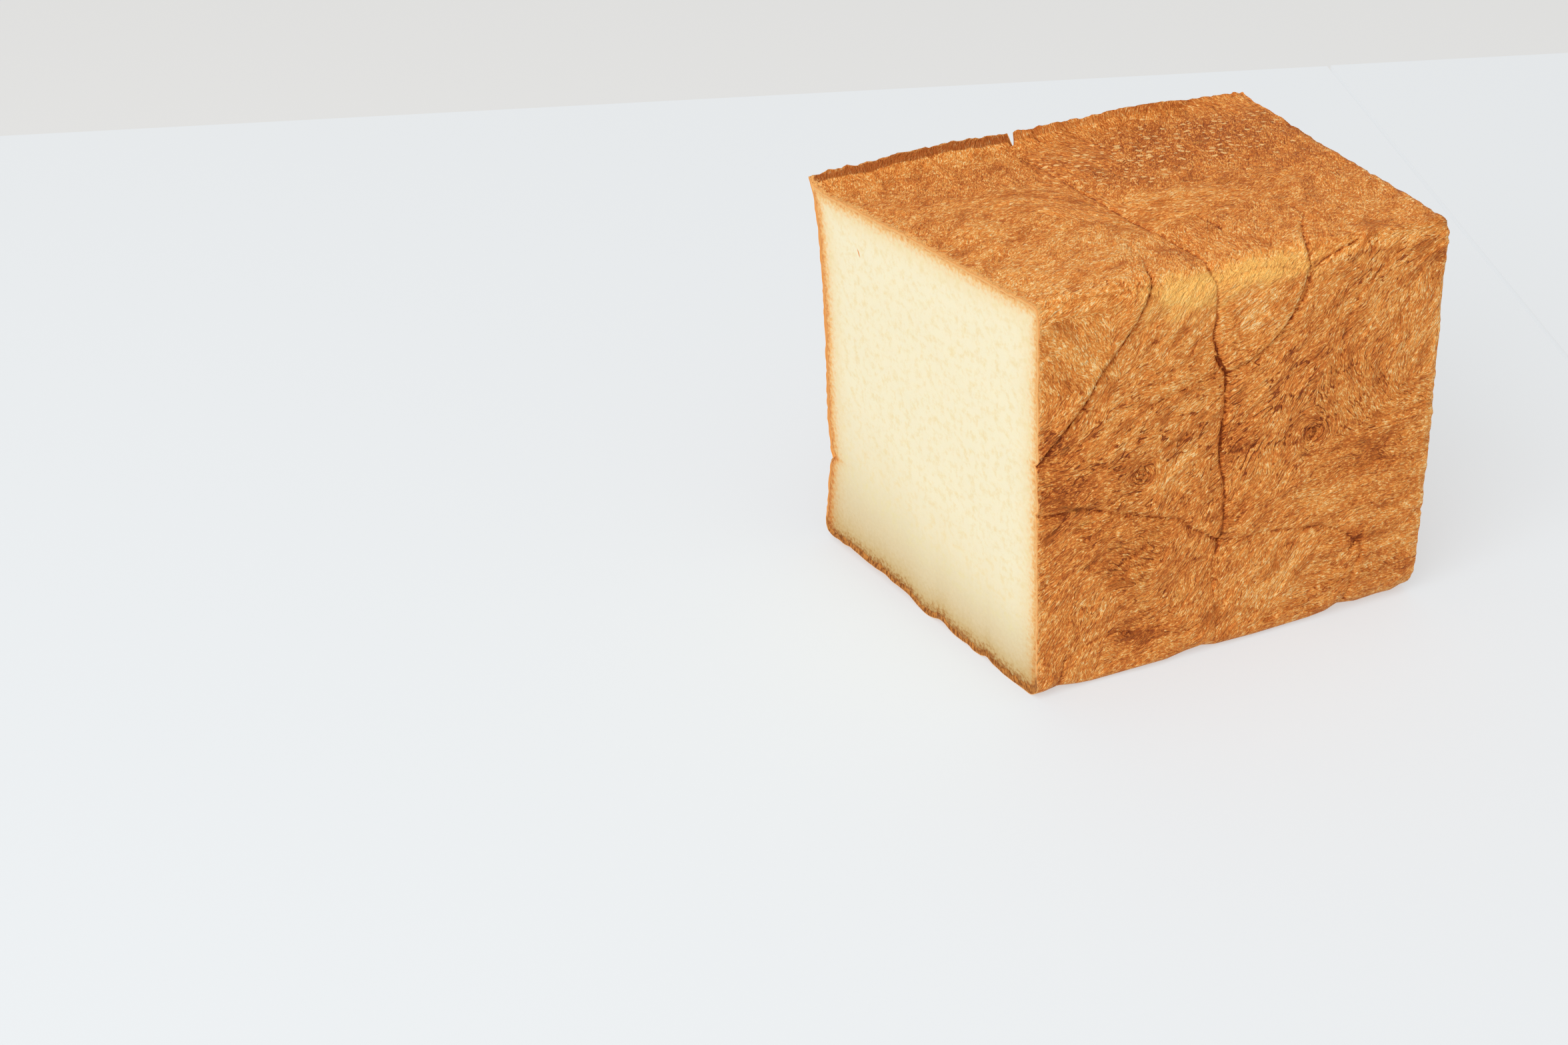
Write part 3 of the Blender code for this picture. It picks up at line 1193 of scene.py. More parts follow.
    def build(self) -> bpy.types.Object:
        """Build the crust as one closed piece, with a slightly ragged edge at the cut."""
        form, size = self.form, self.form.sizes
        share, along, around = self.grid()
        place, normal = form.rounded(along, *form.box(around))
        folds = form.folds(along.ravel(), around.ravel()).relief.reshape(along.shape)
        relief = folds + form.broad_relief(along, around) + form.fine_relief(along, around)
        torn = self.torn_edge * line_noise(around, self.torn_edge_size, 64)
        torn = torn * form.above_table(np.mod(around, size.loop))
        from_cut = np.maximum(along - along[0], 0.0)
        relief = relief + torn * np.exp(-from_cut / self.torn_edge_reach)
        place = form.settle(place + normal * relief[..., None], share,
                            form.lip_rise(along, around))
        sheet = Sheet()
        index = sheet.add_places(place, **self.marks(along, around))
        self.skin_faces(sheet, index, share, along, around)
        self.cap_faces(sheet, index[-1], around[-1])
        self.rim_faces(sheet, index[0], around[0])
        LOG.info("crust: %d places, wall %.1f mm", sheet.count, self.wall.side)
        return sheet.build("tin_loaf_crust", size, CrustFinish().make())

    def skin_faces(self, sheet: Sheet, index: Array, share: Array, along: Array,
                   around: Array) -> None:
        """Add the faces of the four long sides, as two strips of the bake map.

        Args:
            sheet: what the faces are added to.
            index: the places' indices, in rows round the section.
            share: share of the way from the cut to the far end.
            along: places along the loaf.
            around: places around it.
        """
        size = self.form.sizes
        closed, far_along, far_share = (np.concatenate([grid, grid[:, :1]], axis=1)
                                        for grid in (index, along, share))
        far_around = np.concatenate([around, around[:, :1] + size.loop], axis=1)
        unrolled = far_around + self.form.lip_unrolled(far_along, far_around)
        skin = np.stack([far_along, unrolled], axis=-1) / SKIN_UNIT
        turn = self.cells.up + self.cells.over
        bake_along = far_share * size.length
        first = BakeLayout.FRONT.spot(bake_along[:, :turn + 1], far_around[:, :turn + 1])
        behind = far_around[:, turn:] - size.back_edge
        under = UNDER_SQUEEZE * np.maximum(behind - size.height, 0.0)
        second = BakeLayout.BACK.spot(bake_along[:, turn:],
                                      np.minimum(behind, size.height) + under)
        sheet.add_strip(closed[:, :turn + 1], **{SKIN_MAP: skin[:, :turn + 1], BAKE_MAP: first})
        sheet.add_strip(closed[:, turn:], **{SKIN_MAP: skin[:, turn:], BAKE_MAP: second})

    def cap_faces(self, sheet: Sheet, ring: Array, ring_measure: Array) -> None:
        """Add the far end, whose edge is the last ring.

        Args:
            sheet: what the places and faces are added to.
            ring: indices of the last ring's places.
            ring_measure: their measure round the section.
        """
        place, marks = self.cap(ring_measure)
        inner = (slice(1, -1), slice(1, -1))
        index = np.zeros(place.shape[:-1], dtype=int)
        index[inner] = sheet.add_places(place[inner],
                                        **{name: value[inner] for name, value in marks.items()})
        front, back, under, top = self.cells.sides(ring)
        index[:, 0], index[:, -1], index[0, :], index[-1, :] = front, back, under, top
        plane = coons(*self.cells.sides(np.stack(self.form.box(ring_measure), axis=-1)))
        bake = BakeLayout.END.spot(plane[..., 0], plane[..., 1])
        skin = (plane + END_SHIFT) / SKIN_UNIT
        sheet.add_strip(index.T, **{SKIN_MAP: skin.transpose(1, 0, 2),
                                    BAKE_MAP: bake.transpose(1, 0, 2)})

    def rim_faces(self, sheet: Sheet, ring: Array, ring_measure: Array) -> None:
        """Add the cut's rim, a short wall behind it and a fan that closes the wall.

        Args:
            sheet: what the places and faces are added to.
            ring: indices of the first ring's places.
            ring_measure: their measure round the section.
        """
        form, wall, size = self.form, self.wall, self.form.sizes
        uneven = line_noise(ring_measure, 1.4, 63)
        inner = form.shrunk(ring_measure, wall.side + 0.3 * uneven, wall.foot + 0.7 * uneven)
        deep = form.shrunk(ring_measure, wall.side + wall.taper, wall.foot + wall.taper)
        deep = deep + np.array([wall.depth, 0.0, 0.0])
        behind = smooth_step((ring_measure - size.back_edge + 2.0) / 4.0)
        behind = behind * smooth_step((size.back_foot + 2.0 - ring_measure) / 4.0)
        plain = {**PLAIN_MARKS, "rim": wall.side}
        browned = {**plain, "rim": wall.side - wall.browned_back * behind}
        inner_index = sheet.add_places(inner, **browned)
        deep_index = sheet.add_places(deep, **plain)
        middle_index = sheet.add_places(deep.mean(axis=0, keepdims=True), **plain)
        rows = np.stack([deep_index, inner_index, ring])
        rows = np.concatenate([rows, rows[:, :1]], axis=1)
        measure = np.append(ring_measure, ring_measure[0] + size.loop)
        level = np.array([2.0, 5.0, 9.0])[:, None]
        bake = BakeLayout.RIM.spot(*np.broadcast_arrays(measure * RIM_SQUEEZE, level))
        inward = np.array([4.0, 1.0, 0.0])[:, None]
        skin = np.stack(np.broadcast_arrays(measure, inward + RIM_SHIFT), axis=-1) / SKIN_UNIT
        sheet.add_strip(rows, smooth=False, **{SKIN_MAP: skin, BAKE_MAP: bake})
        fan = np.stack([rows[0, :-1], rows[0, 1:], np.full(len(ring), middle_index[0])], axis=-1)
        halfway = 0.5 * (measure[:-1] + measure[1:])
        low = np.zeros(len(ring))
        apex = {SKIN_MAP: np.stack([halfway, low + RIM_SHIFT], axis=-1) / SKIN_UNIT,
                BAKE_MAP: BakeLayout.RIM.spot(halfway * RIM_SQUEEZE, low)}
        sheet.add_faces(fan, **{name: np.stack([grid[0, :-1], grid[0, 1:], apex[name]], axis=1)
                                for name, grid in ((SKIN_MAP, skin), (BAKE_MAP, bake))})


@dataclass(frozen=True)
class Crumb:
    """The bread's cut face: a plate whose edge is tucked behind the crust's rim."""

    form: LoafForm
    wall: Wall
    cells: LoopCells = LoopCells(up=240, over=200)

    def relief(self, across: Array, up: Array) -> Array:
        """Add up slow waves, drag marks of the blade, small soft pores and roughness.

        Args:
            across: places from the folded side to the back.
            up: heights over the table.

        Returns:
            Relief in mm at every place.
        """
        waves = 0.10 * lattice_noise(flat(across, up, 13.0), 71)
        waves += 0.04 * lattice_noise(flat(across, up, 4.0), 72)
        drag = 0.02 * lattice_noise(flat(across, up, 1.2, 88.0, 9.0), 73)
        grit = lattice_noise(flat(across, up, 0.9), 74)
        pores = -0.04 * smooth_step((grit - 0.25) / 0.5)
        return waves + drag + pores + 0.02 * lattice_noise(flat(across, up, 0.55), 75)

    def build(self) -> bpy.types.Object:
        """Build the plate as one closed piece, its face filled in from the cut's outline."""
        form, wall, size = self.form, self.wall, self.form.sizes
        measure = self.cells.rows(size)[:-1]
        side, foot = wall.side - wall.overlap, wall.foot - wall.overlap
        ring = form.shrunk(measure, side, foot)
        plane = coons(*self.cells.sides(ring[:, 1:]))
        across, up = plane[..., 0], plane[..., 1]
        gaps = np.stack([across - across[:, :1], across[:, -1:] - across, up[-1:] - up])
        rim = np.minimum(gaps.min(axis=0), gaps[1] - wall.back_rim_shift) + side
        # the foot's tint and painted shade reach less far up on the folded side than at the back;
        # the difference is painted shade
        foot_gap = up - up[:1] + foot
        foot_gap = foot_gap + 0.9 * (1.0 - across / size.width) * np.maximum(foot_gap - 6.0, 0.0)
        relief = self.relief(across, up) * smooth_step(gaps.min(axis=0) / 3.0)
        along = form.cut_plane(across, up) + wall.recess - relief
        sheet = Sheet()
        index = sheet.add_places(np.stack([along, across, up], axis=-1), rim=rim, foot=foot_gap)
        sheet.add_strip(index, **{SKIN_MAP: plane / SKIN_UNIT, BAKE_MAP: plane / BAKE_CRUMB})
        edge = np.concatenate([index[:, 0], index[-1, 1:], index[-2::-1, -1], index[0, -2::-1]])
        deep = form.shrunk(measure, side + wall.taper, foot + wall.taper)
        deep = deep + np.array([wall.depth - wall.spare, 0.0, 0.0])
        self.close(sheet, edge, deep)
        LOG.info("crumb: %d places", sheet.count)
        return sheet.build("tin_loaf_crumb", size, CrumbFinish().make())

    def close(self, sheet: Sheet, edge: Array, deep: Array) -> None:
        """Join the face's edge to a ring behind it, and the ring to its middle in a fan.

        Args:
            sheet: what the places and faces are added to.
            edge: indices of the face's edge, once round and back to the first.
            deep: the ring's places.
        """
        hidden = {"rim": self.wall.side - self.wall.overlap, "foot": 30.0}
        deep_index = sheet.add_places(deep, **hidden)
        middle = sheet.add_places(deep.mean(axis=0, keepdims=True), **hidden)
        rows = np.stack([edge, np.append(deep_index, deep_index[0])])
        # a thin strip along the top of the bake map, which the face leaves free
        steps = np.linspace(0.0, 0.93, len(edge))
        level = np.array([0.99, 0.97])[:, None]
        strip = np.stack(np.broadcast_arrays(steps, level), axis=-1)
        sheet.add_strip(rows, **{SKIN_MAP: strip + 2.0, BAKE_MAP: strip})
        apex = np.stack([0.5 * (steps[:-1] + steps[1:]), np.full(len(steps) - 1, 0.95)], axis=-1)
        fan_map = np.stack([strip[1, :-1], apex, strip[1, 1:]], axis=1)
        fan = np.stack([rows[1, :-1], np.full(len(deep_index), middle[0]), rows[1, 1:]], axis=-1)
        sheet.add_faces(fan, **{SKIN_MAP: fan_map + 2.0, BAKE_MAP: fan_map})


# -----------------------------------------------
# Finishes
# -----------------------------------------------

# Settings that many nodes share
BLEND = {"out": 2, "data_type": "RGBA"}
SMOOTH = {"interpolation_type": "SMOOTHSTEP"}


def add_node(tree: Tree, kind: str, feeds: dict[int | str, Feed] | None = None,
             out: int | str = 0, **settings: object) -> Socket:
    """Add a node and feed its inputs.

    Args:
        tree: where the node goes.
        kind: the node's type, without the leading "ShaderNode".
        feeds: a value or another node's output for each input, by number or name.
        out: which output to return.
        settings: the node's own settings.

    Returns:
        The chosen output.
    """
    node = tree.nodes.new("ShaderNode" + kind)
    for name, value in settings.items():
        setattr(node, name, value)
    for name, value in (feeds or {}).items():
        if isinstance(value, Socket):
            tree.links.new(value, node.inputs[name])
        else:
            node.inputs[name].default_value = value
    return node.outputs[out]


def set_ramp(socket: Socket, stops: Ramp) -> None:
    """Give a colour ramp its stops.

    Args:
        socket: the ramp's output.
        stops: place and sRGB hex of each.
    """
    ramp = socket.node.color_ramp
    while len(ramp.elements) > 1:
        ramp.elements.remove(ramp.elements[-1])
    ramp.elements[0].position = stops[0][0]
    ramp.elements[0].color = linear_colour(stops[0][1])
    for place, colour in stops[1:]:
        ramp.elements.new(place).color = linear_colour(colour)


def new_material(name: str) -> tuple[bpy.types.Material, Tree, Socket]:
    """Make a material whose tree holds only its output.

    Args:
        name: the material's name.

    Returns:
        The material, its tree and the output's surface.
    """
    material = bpy.data.materials.new(name)
    material.use_nodes = True
    tree = material.node_tree
    tree.nodes.clear()
    return material, tree, tree.nodes.new("ShaderNodeOutputMaterial").inputs["Surface"]


@dataclass(frozen=True)
class Mottle:
    """Plain noise over a surface, with features of a size in mm."""

    size: float
    detail: float = 2.0
    roughness: float = 0.6

    def weave(self, tree: Tree) -> Socket:
        """Add the pattern, of about 0 to 1."""
        skin = add_node(tree, "UVMap", uv_map=SKIN_MAP)
        return add_node(tree, "TexNoise", {"Vector": skin, "Scale": SKIN_UNIT / self.size,
                                           "Detail": self.detail, "Roughness": self.roughness},
                        noise_dimensions="2D")


@dataclass(frozen=True)
class Fibres:
    """Short worms of dough drawn along the grain. Sizes are in mm."""

    length: float
    width: float
    detail: float
    mixed: float = 0.1
    gain: float = 4.0
    directions: int = 6
    shift: float = 0.0

    def weave(self, tree: Tree) -> Socket:
        """Add the pattern: turned, stretched noises, blended by how well each fits the grain.

        Args:
            tree: where the nodes go.

        Returns:
            A value of about -1 to 1.
        """
        skin = add_node(tree, "UVMap", uv_map=SKIN_MAP)
        cosine = add_node(tree, "Attribute", attribute_name="grain_c", out="Fac")
        sine = add_node(tree, "Attribute", attribute_name="grain_s", out="Fac")
        lean = add_node(tree, "VectorMath", {0: add_node(tree, "CombineXYZ", {0: cosine, 1: sine})},
                        operation="NORMALIZE")
        total: Feed = 0.0
        weights: Feed = 1e-4
        for number in range(self.directions):
            angle = math.pi * number / self.directions
            ideal = (math.cos(2.0 * angle), math.sin(2.0 * angle), 0.0)
            fit = add_node(tree, "VectorMath", {0: lean, 1: ideal}, "Value",
                           operation="DOT_PRODUCT")
            held = add_node(tree, "Math", {0: fit, 1: 0.0}, operation="MAXIMUM")
            strong = add_node(tree, "Math", {0: held, 1: 3.0}, operation="POWER")
            weight = add_node(tree, "Math", {0: strong, 1: self.mixed}, operation="ADD")
            size = (self.length / SKIN_UNIT, self.width / SKIN_UNIT, 1.0)
            turned = add_node(tree, "Mapping", {"Vector": skin, "Rotation": (0.0, 0.0, angle),
                                                "Location": (0.37 * number, self.shift, 0.0),
                                                "Scale": size}, vector_type="TEXTURE")
            noise = add_node(tree, "TexNoise", {"Vector": turned, "Scale": 1.0,
                                                "Detail": self.detail, "Roughness": 0.55},
                             noise_dimensions="2D")
            centred = add_node(tree, "Math", {0: noise, 1: 0.5}, operation="SUBTRACT")
            total = add_node(tree, "Math", {0: centred, 1: weight, 2: total},
                             operation="MULTIPLY_ADD")
            weights = add_node(tree, "Math", {0: weight, 1: weight, 2: weights},
                               operation="MULTIPLY_ADD")
        # dividing by the root of the summed squares keeps the contrast where directions mix
        root = add_node(tree, "Math", {0: weights, 1: 0.5}, operation="POWER")
        mean = add_node(tree, "Math", {0: total, 1: root}, operation="DIVIDE")
        return add_node(tree, "Math", {0: mean, 1: self.gain}, operation="MULTIPLY")


@dataclass(frozen=True)
class CrustPatterns:
    """The crust's marks and patterns, as the sockets that carry them."""

    marks: Sockets
    fine: Socket
    broad: Socket
    stains: Socket
    cracks: Socket
    # painted shade along the creases
    creases: Socket


@dataclass(frozen=True)
class CrustFinish:
    """Baked crust: browned against the tin, stretched, and a little glossy from its own sugar.

    The browns run from the painted shade of the deepest creases to the palest strands. Lengths
    are in mm.
    """

    name: str = "baked_bread_crust"
    browns: Ramp = ((0.0, "803407"), (0.2, "af581b"), (0.36, "d2762e"), (0.5, "e48d3c"),
                    (0.64, "f0a655"), (0.8, "f7bf76"), (1.0, "fcd89e"))
    pale: str = "ffc668"
    lip: str = "9a4d17"
    stain: str = "b76422"
    blister: str = "f7c47f"
    rim: Ramp = ((0.0, "cd7a33"), (0.5, "efaf66"), (1.0, "f2bc76"))
    # the rim's darker foot: the bottom crust's own brown, with painted shade near the table
    foot: tuple[str, str] = ("7f4512", "bd7a36")
    foot_height: tuple[float, float] = (10.0, 6.0)
    blister_size: tuple[float, float] = (3.2, 2.0)
    blister_turn: float = -25.0
    middle: float = 0.41
    roughness: float = 0.6
    bump: float = 0.3

    def creases(self, tree: Tree, marks: Sockets) -> Socket:
        """Paint shade along the creases: thin dark lines, whose width wanders and which break off
        in places, in a fainter, wider shade.

        Args:
            tree: where the nodes go.
            marks: the skin's marks.

        Returns:
            The painted shade's strength, of 0 to 1.
        """
        gap = add_node(tree, "Math", {0: Mottle(1.8).weave(tree), 1: 2.0, 2: marks["gap"]},
                       operation="MULTIPLY_ADD")
        # a thin dark line of painted shade in each crease, in a fainter, wider painted shade
        line = add_node(tree, "MapRange", {0: gap, 1: 1.6, 2: 0.9}, **SMOOTH)
        soft = add_node(tree, "MapRange", {0: gap, 1: 3.4, 2: 1.0, 4: 0.25}, **SMOOTH)
        both = add_node(tree, "Math", {0: line, 1: soft}, operation="MAXIMUM")
        return add_node(tree, "Math", {0: both, 1: marks["crease"]}, operation="MULTIPLY")

    def cracks(self, tree: Tree, marks: Sockets) -> Socket:
        """Draw short thin cracks along the grain where fibres cross zero, in patches.

        Args:
            tree: where the nodes go.
            marks: the skin's marks.

        Returns:
            The cracks' strength, of 0 to 1.
        """
        crossing = Fibres(length=13.0, width=2.4, detail=1.0, mixed=0.01, shift=3.1).weave(tree)
        away = add_node(tree, "Math", {0: crossing}, operation="ABSOLUTE")
        line = add_node(tree, "MapRange", {0: away, 1: 0.16, 2: 0.03}, **SMOOTH)
        here = add_node(tree, "MapRange", {0: Mottle(6.0).weave(tree), 1: 0.44, 2: 0.56}, **SMOOTH)
        here = add_node(tree, "Math", {0: here, 1: marks["cracked"]}, operation="MULTIPLY")
        return add_node(tree, "Math", {0: line, 1: here}, operation="MULTIPLY")

    def blisters(self, tree: Tree, patterns: CrustPatterns) -> Socket:
        """Draw small pale ovals of many sizes: the middles of some of a pattern's cells.

        Args:
            tree: where the nodes go.
            patterns: the crust's patterns.

        Returns:
            The ovals' strength, which is 0 where the skin isn't marked for them.
        """
        skin = add_node(tree, "UVMap", uv_map=SKIN_MAP)
        size = tuple(side / SKIN_UNIT for side in self.blister_size)
        turn = math.radians(self.blister_turn)
        turned = add_node(tree, "Mapping", {"Vector": skin, "Scale": (*size, 1.0),
                                            "Rotation": (0.0, 0.0, turn)}, vector_type="TEXTURE")
        cells = {"Vector": turned, "Scale": 1.0, "Randomness": 1.0}
        away = add_node(tree, "TexVoronoi", cells, "Distance", voronoi_dimensions="2D")
        draw = add_node(tree, "TexVoronoi", cells, "Color", voronoi_dimensions="2D")
        size_draw = add_node(tree, "SeparateXYZ", {0: draw}, out="X")
        luck = add_node(tree, "SeparateXYZ", {0: draw}, out="Y")
        inside = add_node(tree, "Math", {0: size_draw, 1: -0.24, 2: away},
                          operation="MULTIPLY_ADD")
        seen = add_node(tree, "MapRange", {0: inside, 1: 0.13, 2: 0.07, 4: 0.85}, **SMOOTH)
        chosen = add_node(tree, "Math", {0: patterns.marks["blister"], 1: luck}, operation="ADD")
        here = add_node(tree, "MapRange", {0: chosen, 1: 1.42, 2: 1.48}, **SMOOTH)
        return add_node(tree, "Math", {0: seen, 1: here}, operation="MULTIPLY")

    def browning(self, tree: Tree, patterns: CrustPatterns) -> Socket:
        """Brown the skin: a middle level, plus each mark and pattern times its share, on a ramp.

        Args:
            tree: where the nodes go.
            patterns: the crust's patterns.

        Returns:
            The browned colour.
        """
        dashes = add_node(tree, "MapRange", {0: patterns.fine, 2: 0.9}, **SMOOTH)
        away = add_node(tree, "Math", {0: patterns.broad}, operation="ABSOLUTE")
        line = add_node(tree, "MapRange", {0: away, 1: 0.3, 2: 0.05}, **SMOOTH)
        here = add_node(tree, "MapRange", {0: Mottle(2.6).weave(tree), 1: 0.4, 2: 0.62}, **SMOOTH)
        strands = add_node(tree, "Math", {0: line, 1: here}, operation="MULTIPLY")
        grit = add_node(tree, "Math", {0: Mottle(0.8, 3.0).weave(tree), 1: 0.5},
                        operation="SUBTRACT")
        level: Feed = self.middle
        # the creases' share darkens with painted shade; the tone also carries painted highlights
        for value, share in (
                (patterns.marks["tone"], 0.26), (patterns.creases, -0.7), (patterns.fine, 0.13),
                (dashes, 0.22), (patterns.broad, 0.07), (strands, 0.32), (patterns.cracks, -0.42),
                (patterns.stains, 0.11), (grit, 0.25)):
            level = add_node(tree, "Math", {0: value, 1: share, 2: level},
                             operation="MULTIPLY_ADD")
        colour = add_node(tree, "ValToRGB", {0: level})
        set_ramp(colour, self.browns)
        return colour

    def pale_share(self, tree: Tree, patterns: CrustPatterns) -> Socket:
        """Spread the pale strips: ragged, let through by the fibres and taken out by the painted
        crease shade.

        Args:
            tree: where the nodes go.
            patterns: the crust's patterns.

        Returns:
            How much of the pale colour shows.
        """
        uneven = add_node(tree, "Math", {0: patterns.fine, 1: 0.2, 2: 0.62},
                          operation="MULTIPLY_ADD")
        patchy = add_node(tree, "Math", {0: Mottle(5.0, 4.0).weave(tree), 1: 1.4,
                                         2: patterns.marks["pale"]}, operation="MULTIPLY_ADD")
        ragged = add_node(tree, "MapRange", {0: patchy, 1: 0.75, 2: 1.75}, **SMOOTH)
        pale = add_node(tree, "Math", {0: ragged, 1: uneven}, operation="MULTIPLY")
        kept = add_node(tree, "Math", {0: patterns.creases, 1: -0.8, 2: 1.0},
                        operation="MULTIPLY_ADD")
        return add_node(tree, "Math", {0: pale, 1: kept}, operation="MULTIPLY")

    def rim_colour(self, tree: Tree, rim: Socket) -> Socket:
        """Colour the cut's rim from its outer edge inwards, with a mottled, darker foot: the
        bottom crust's own deeper brown, with painted shade near the table.

        Args:
            tree: where the nodes go.
            rim: distance from the outer edge.

        Returns:
            The rim's colour.
        """
        colour = add_node(tree, "ValToRGB", {0: rim})
        set_ramp(colour, self.rim)
        place = add_node(tree, "TexCoord", out="Object")
        height = add_node(tree, "SeparateXYZ", {0: place}, out="Z")
        start, end = (height_mm * MM for height_mm in self.foot_height)
        low = add_node(tree, "MapRange", {0: height, 1: start, 2: end}, **SMOOTH)
        mottle = add_node(tree, "MapRange", {0: Mottle(1.1, 3.0).weave(tree), 1: 0.35, 2: 0.65},
                          **SMOOTH)
        dark, light = (linear_colour(colour_hex) for colour_hex in self.foot)
        foot = add_node(tree, "Mix", {0: mottle, 6: dark, 7: light}, **BLEND)
        return add_node(tree, "Mix", {0: low, 6: colour, 7: foot}, **BLEND)

    def colour(self, tree: Tree, patterns: CrustPatterns) -> Socket:
        """Lay stains, pale strips, blisters, the lip and the cut's edge over the browns.

        Args:
            tree: where the nodes go.
            patterns: the crust's patterns.

        Returns:
            The crust's colour, and on the rim the rim's own.
        """
        marks = patterns.marks
        stained = add_node(tree, "MapRange", {0: patterns.stains, 1: -0.1, 2: -1.2, 4: 0.55},
                           **SMOOTH)
        browned = add_node(tree, "Math", {0: patterns.fine, 1: -0.12, 2: 0.85},
                           operation="MULTIPLY_ADD")
        lip = add_node(tree, "Math", {0: marks["lip"], 1: browned}, operation="MULTIPLY")
        ragged = add_node(tree, "Math", {0: Mottle(1.4).weave(tree), 1: 6.0, 2: marks["edge"]},
                          operation="MULTIPLY_ADD")
        edge = add_node(tree, "MapRange", {0: ragged, 1: 5.0, 2: 3.4, 4: 0.9}, **SMOOTH)
        colour = self.browning(tree, patterns)
        for share, over in ((stained, self.stain), (self.pale_share(tree, patterns), self.pale),
                            (self.blisters(tree, patterns), self.blister), (lip, self.lip),
                            (edge, self.rim[1][1])):
            colour = add_node(tree, "Mix", {0: share, 6: colour, 7: linear_colour(over)}, **BLEND)
        on_rim = add_node(tree, "MapRange", {0: marks["rim"], 2: 0.12}, **SMOOTH)
        return add_node(tree, "Mix", {0: on_rim, 6: colour,
                                      7: self.rim_colour(tree, marks["rim"])}, **BLEND)

    def make(self) -> bpy.types.Material:
        """Make the material."""
        material, tree, surface = new_material(self.name)
        marks = {name: add_node(tree, "Attribute", attribute_name=name, out="Fac")
                 for name in ("crease", "gap", "tone", "pale", "lip", "edge", "blister",
                              "cracked", "rim")}
        # the real worms are about 0.3 by 1 mm; they are drawn a little coarser, to show
        fine = Fibres(length=1.5, width=0.42, detail=2.0).weave(tree)
        broad = Fibres(length=5.0, width=1.2, detail=2.5, mixed=0.05).weave(tree)
        stains = Fibres(length=17.0, width=5.0, detail=3.0, mixed=0.2, directions=4).weave(tree)
        patterns = CrustPatterns(marks, fine, broad, stains, self.cracks(tree, marks),
                                 self.creases(tree, marks))
        height = add_node(tree, "Math", {0: fine, 1: 0.5, 2: broad}, operation="MULTIPLY_ADD")
        for sunk in (patterns.cracks, patterns.creases):
            height = add_node(tree, "Math", {0: sunk, 1: -1.6, 2: height},
                              operation="MULTIPLY_ADD")
        skin_only = add_node(tree, "MapRange", {0: marks["rim"], 1: 0.1, 2: -0.1, 4: 0.9}, **SMOOTH)
        bump = add_node(tree, "Bump", {"Strength": skin_only, "Distance": self.bump * MM,
                                       "Height": height})
        gloss = add_node(tree, "Math", {0: fine, 1: 0.06, 2: self.roughness},
                         operation="MULTIPLY_ADD")
        shader = add_node(tree, "BsdfPrincipled", {
            "Base Color": self.colour(tree, patterns), "Roughness": gloss,
            "IOR": 1.42, "Specular IOR Level": 0.22, "Normal": bump,
            "Subsurface Weight": 0.05, "Subsurface Scale": 0.0015,
            "Subsurface Radius": (1.0, 0.5, 0.25)})
        tree.links.new(shader, surface)
        return material


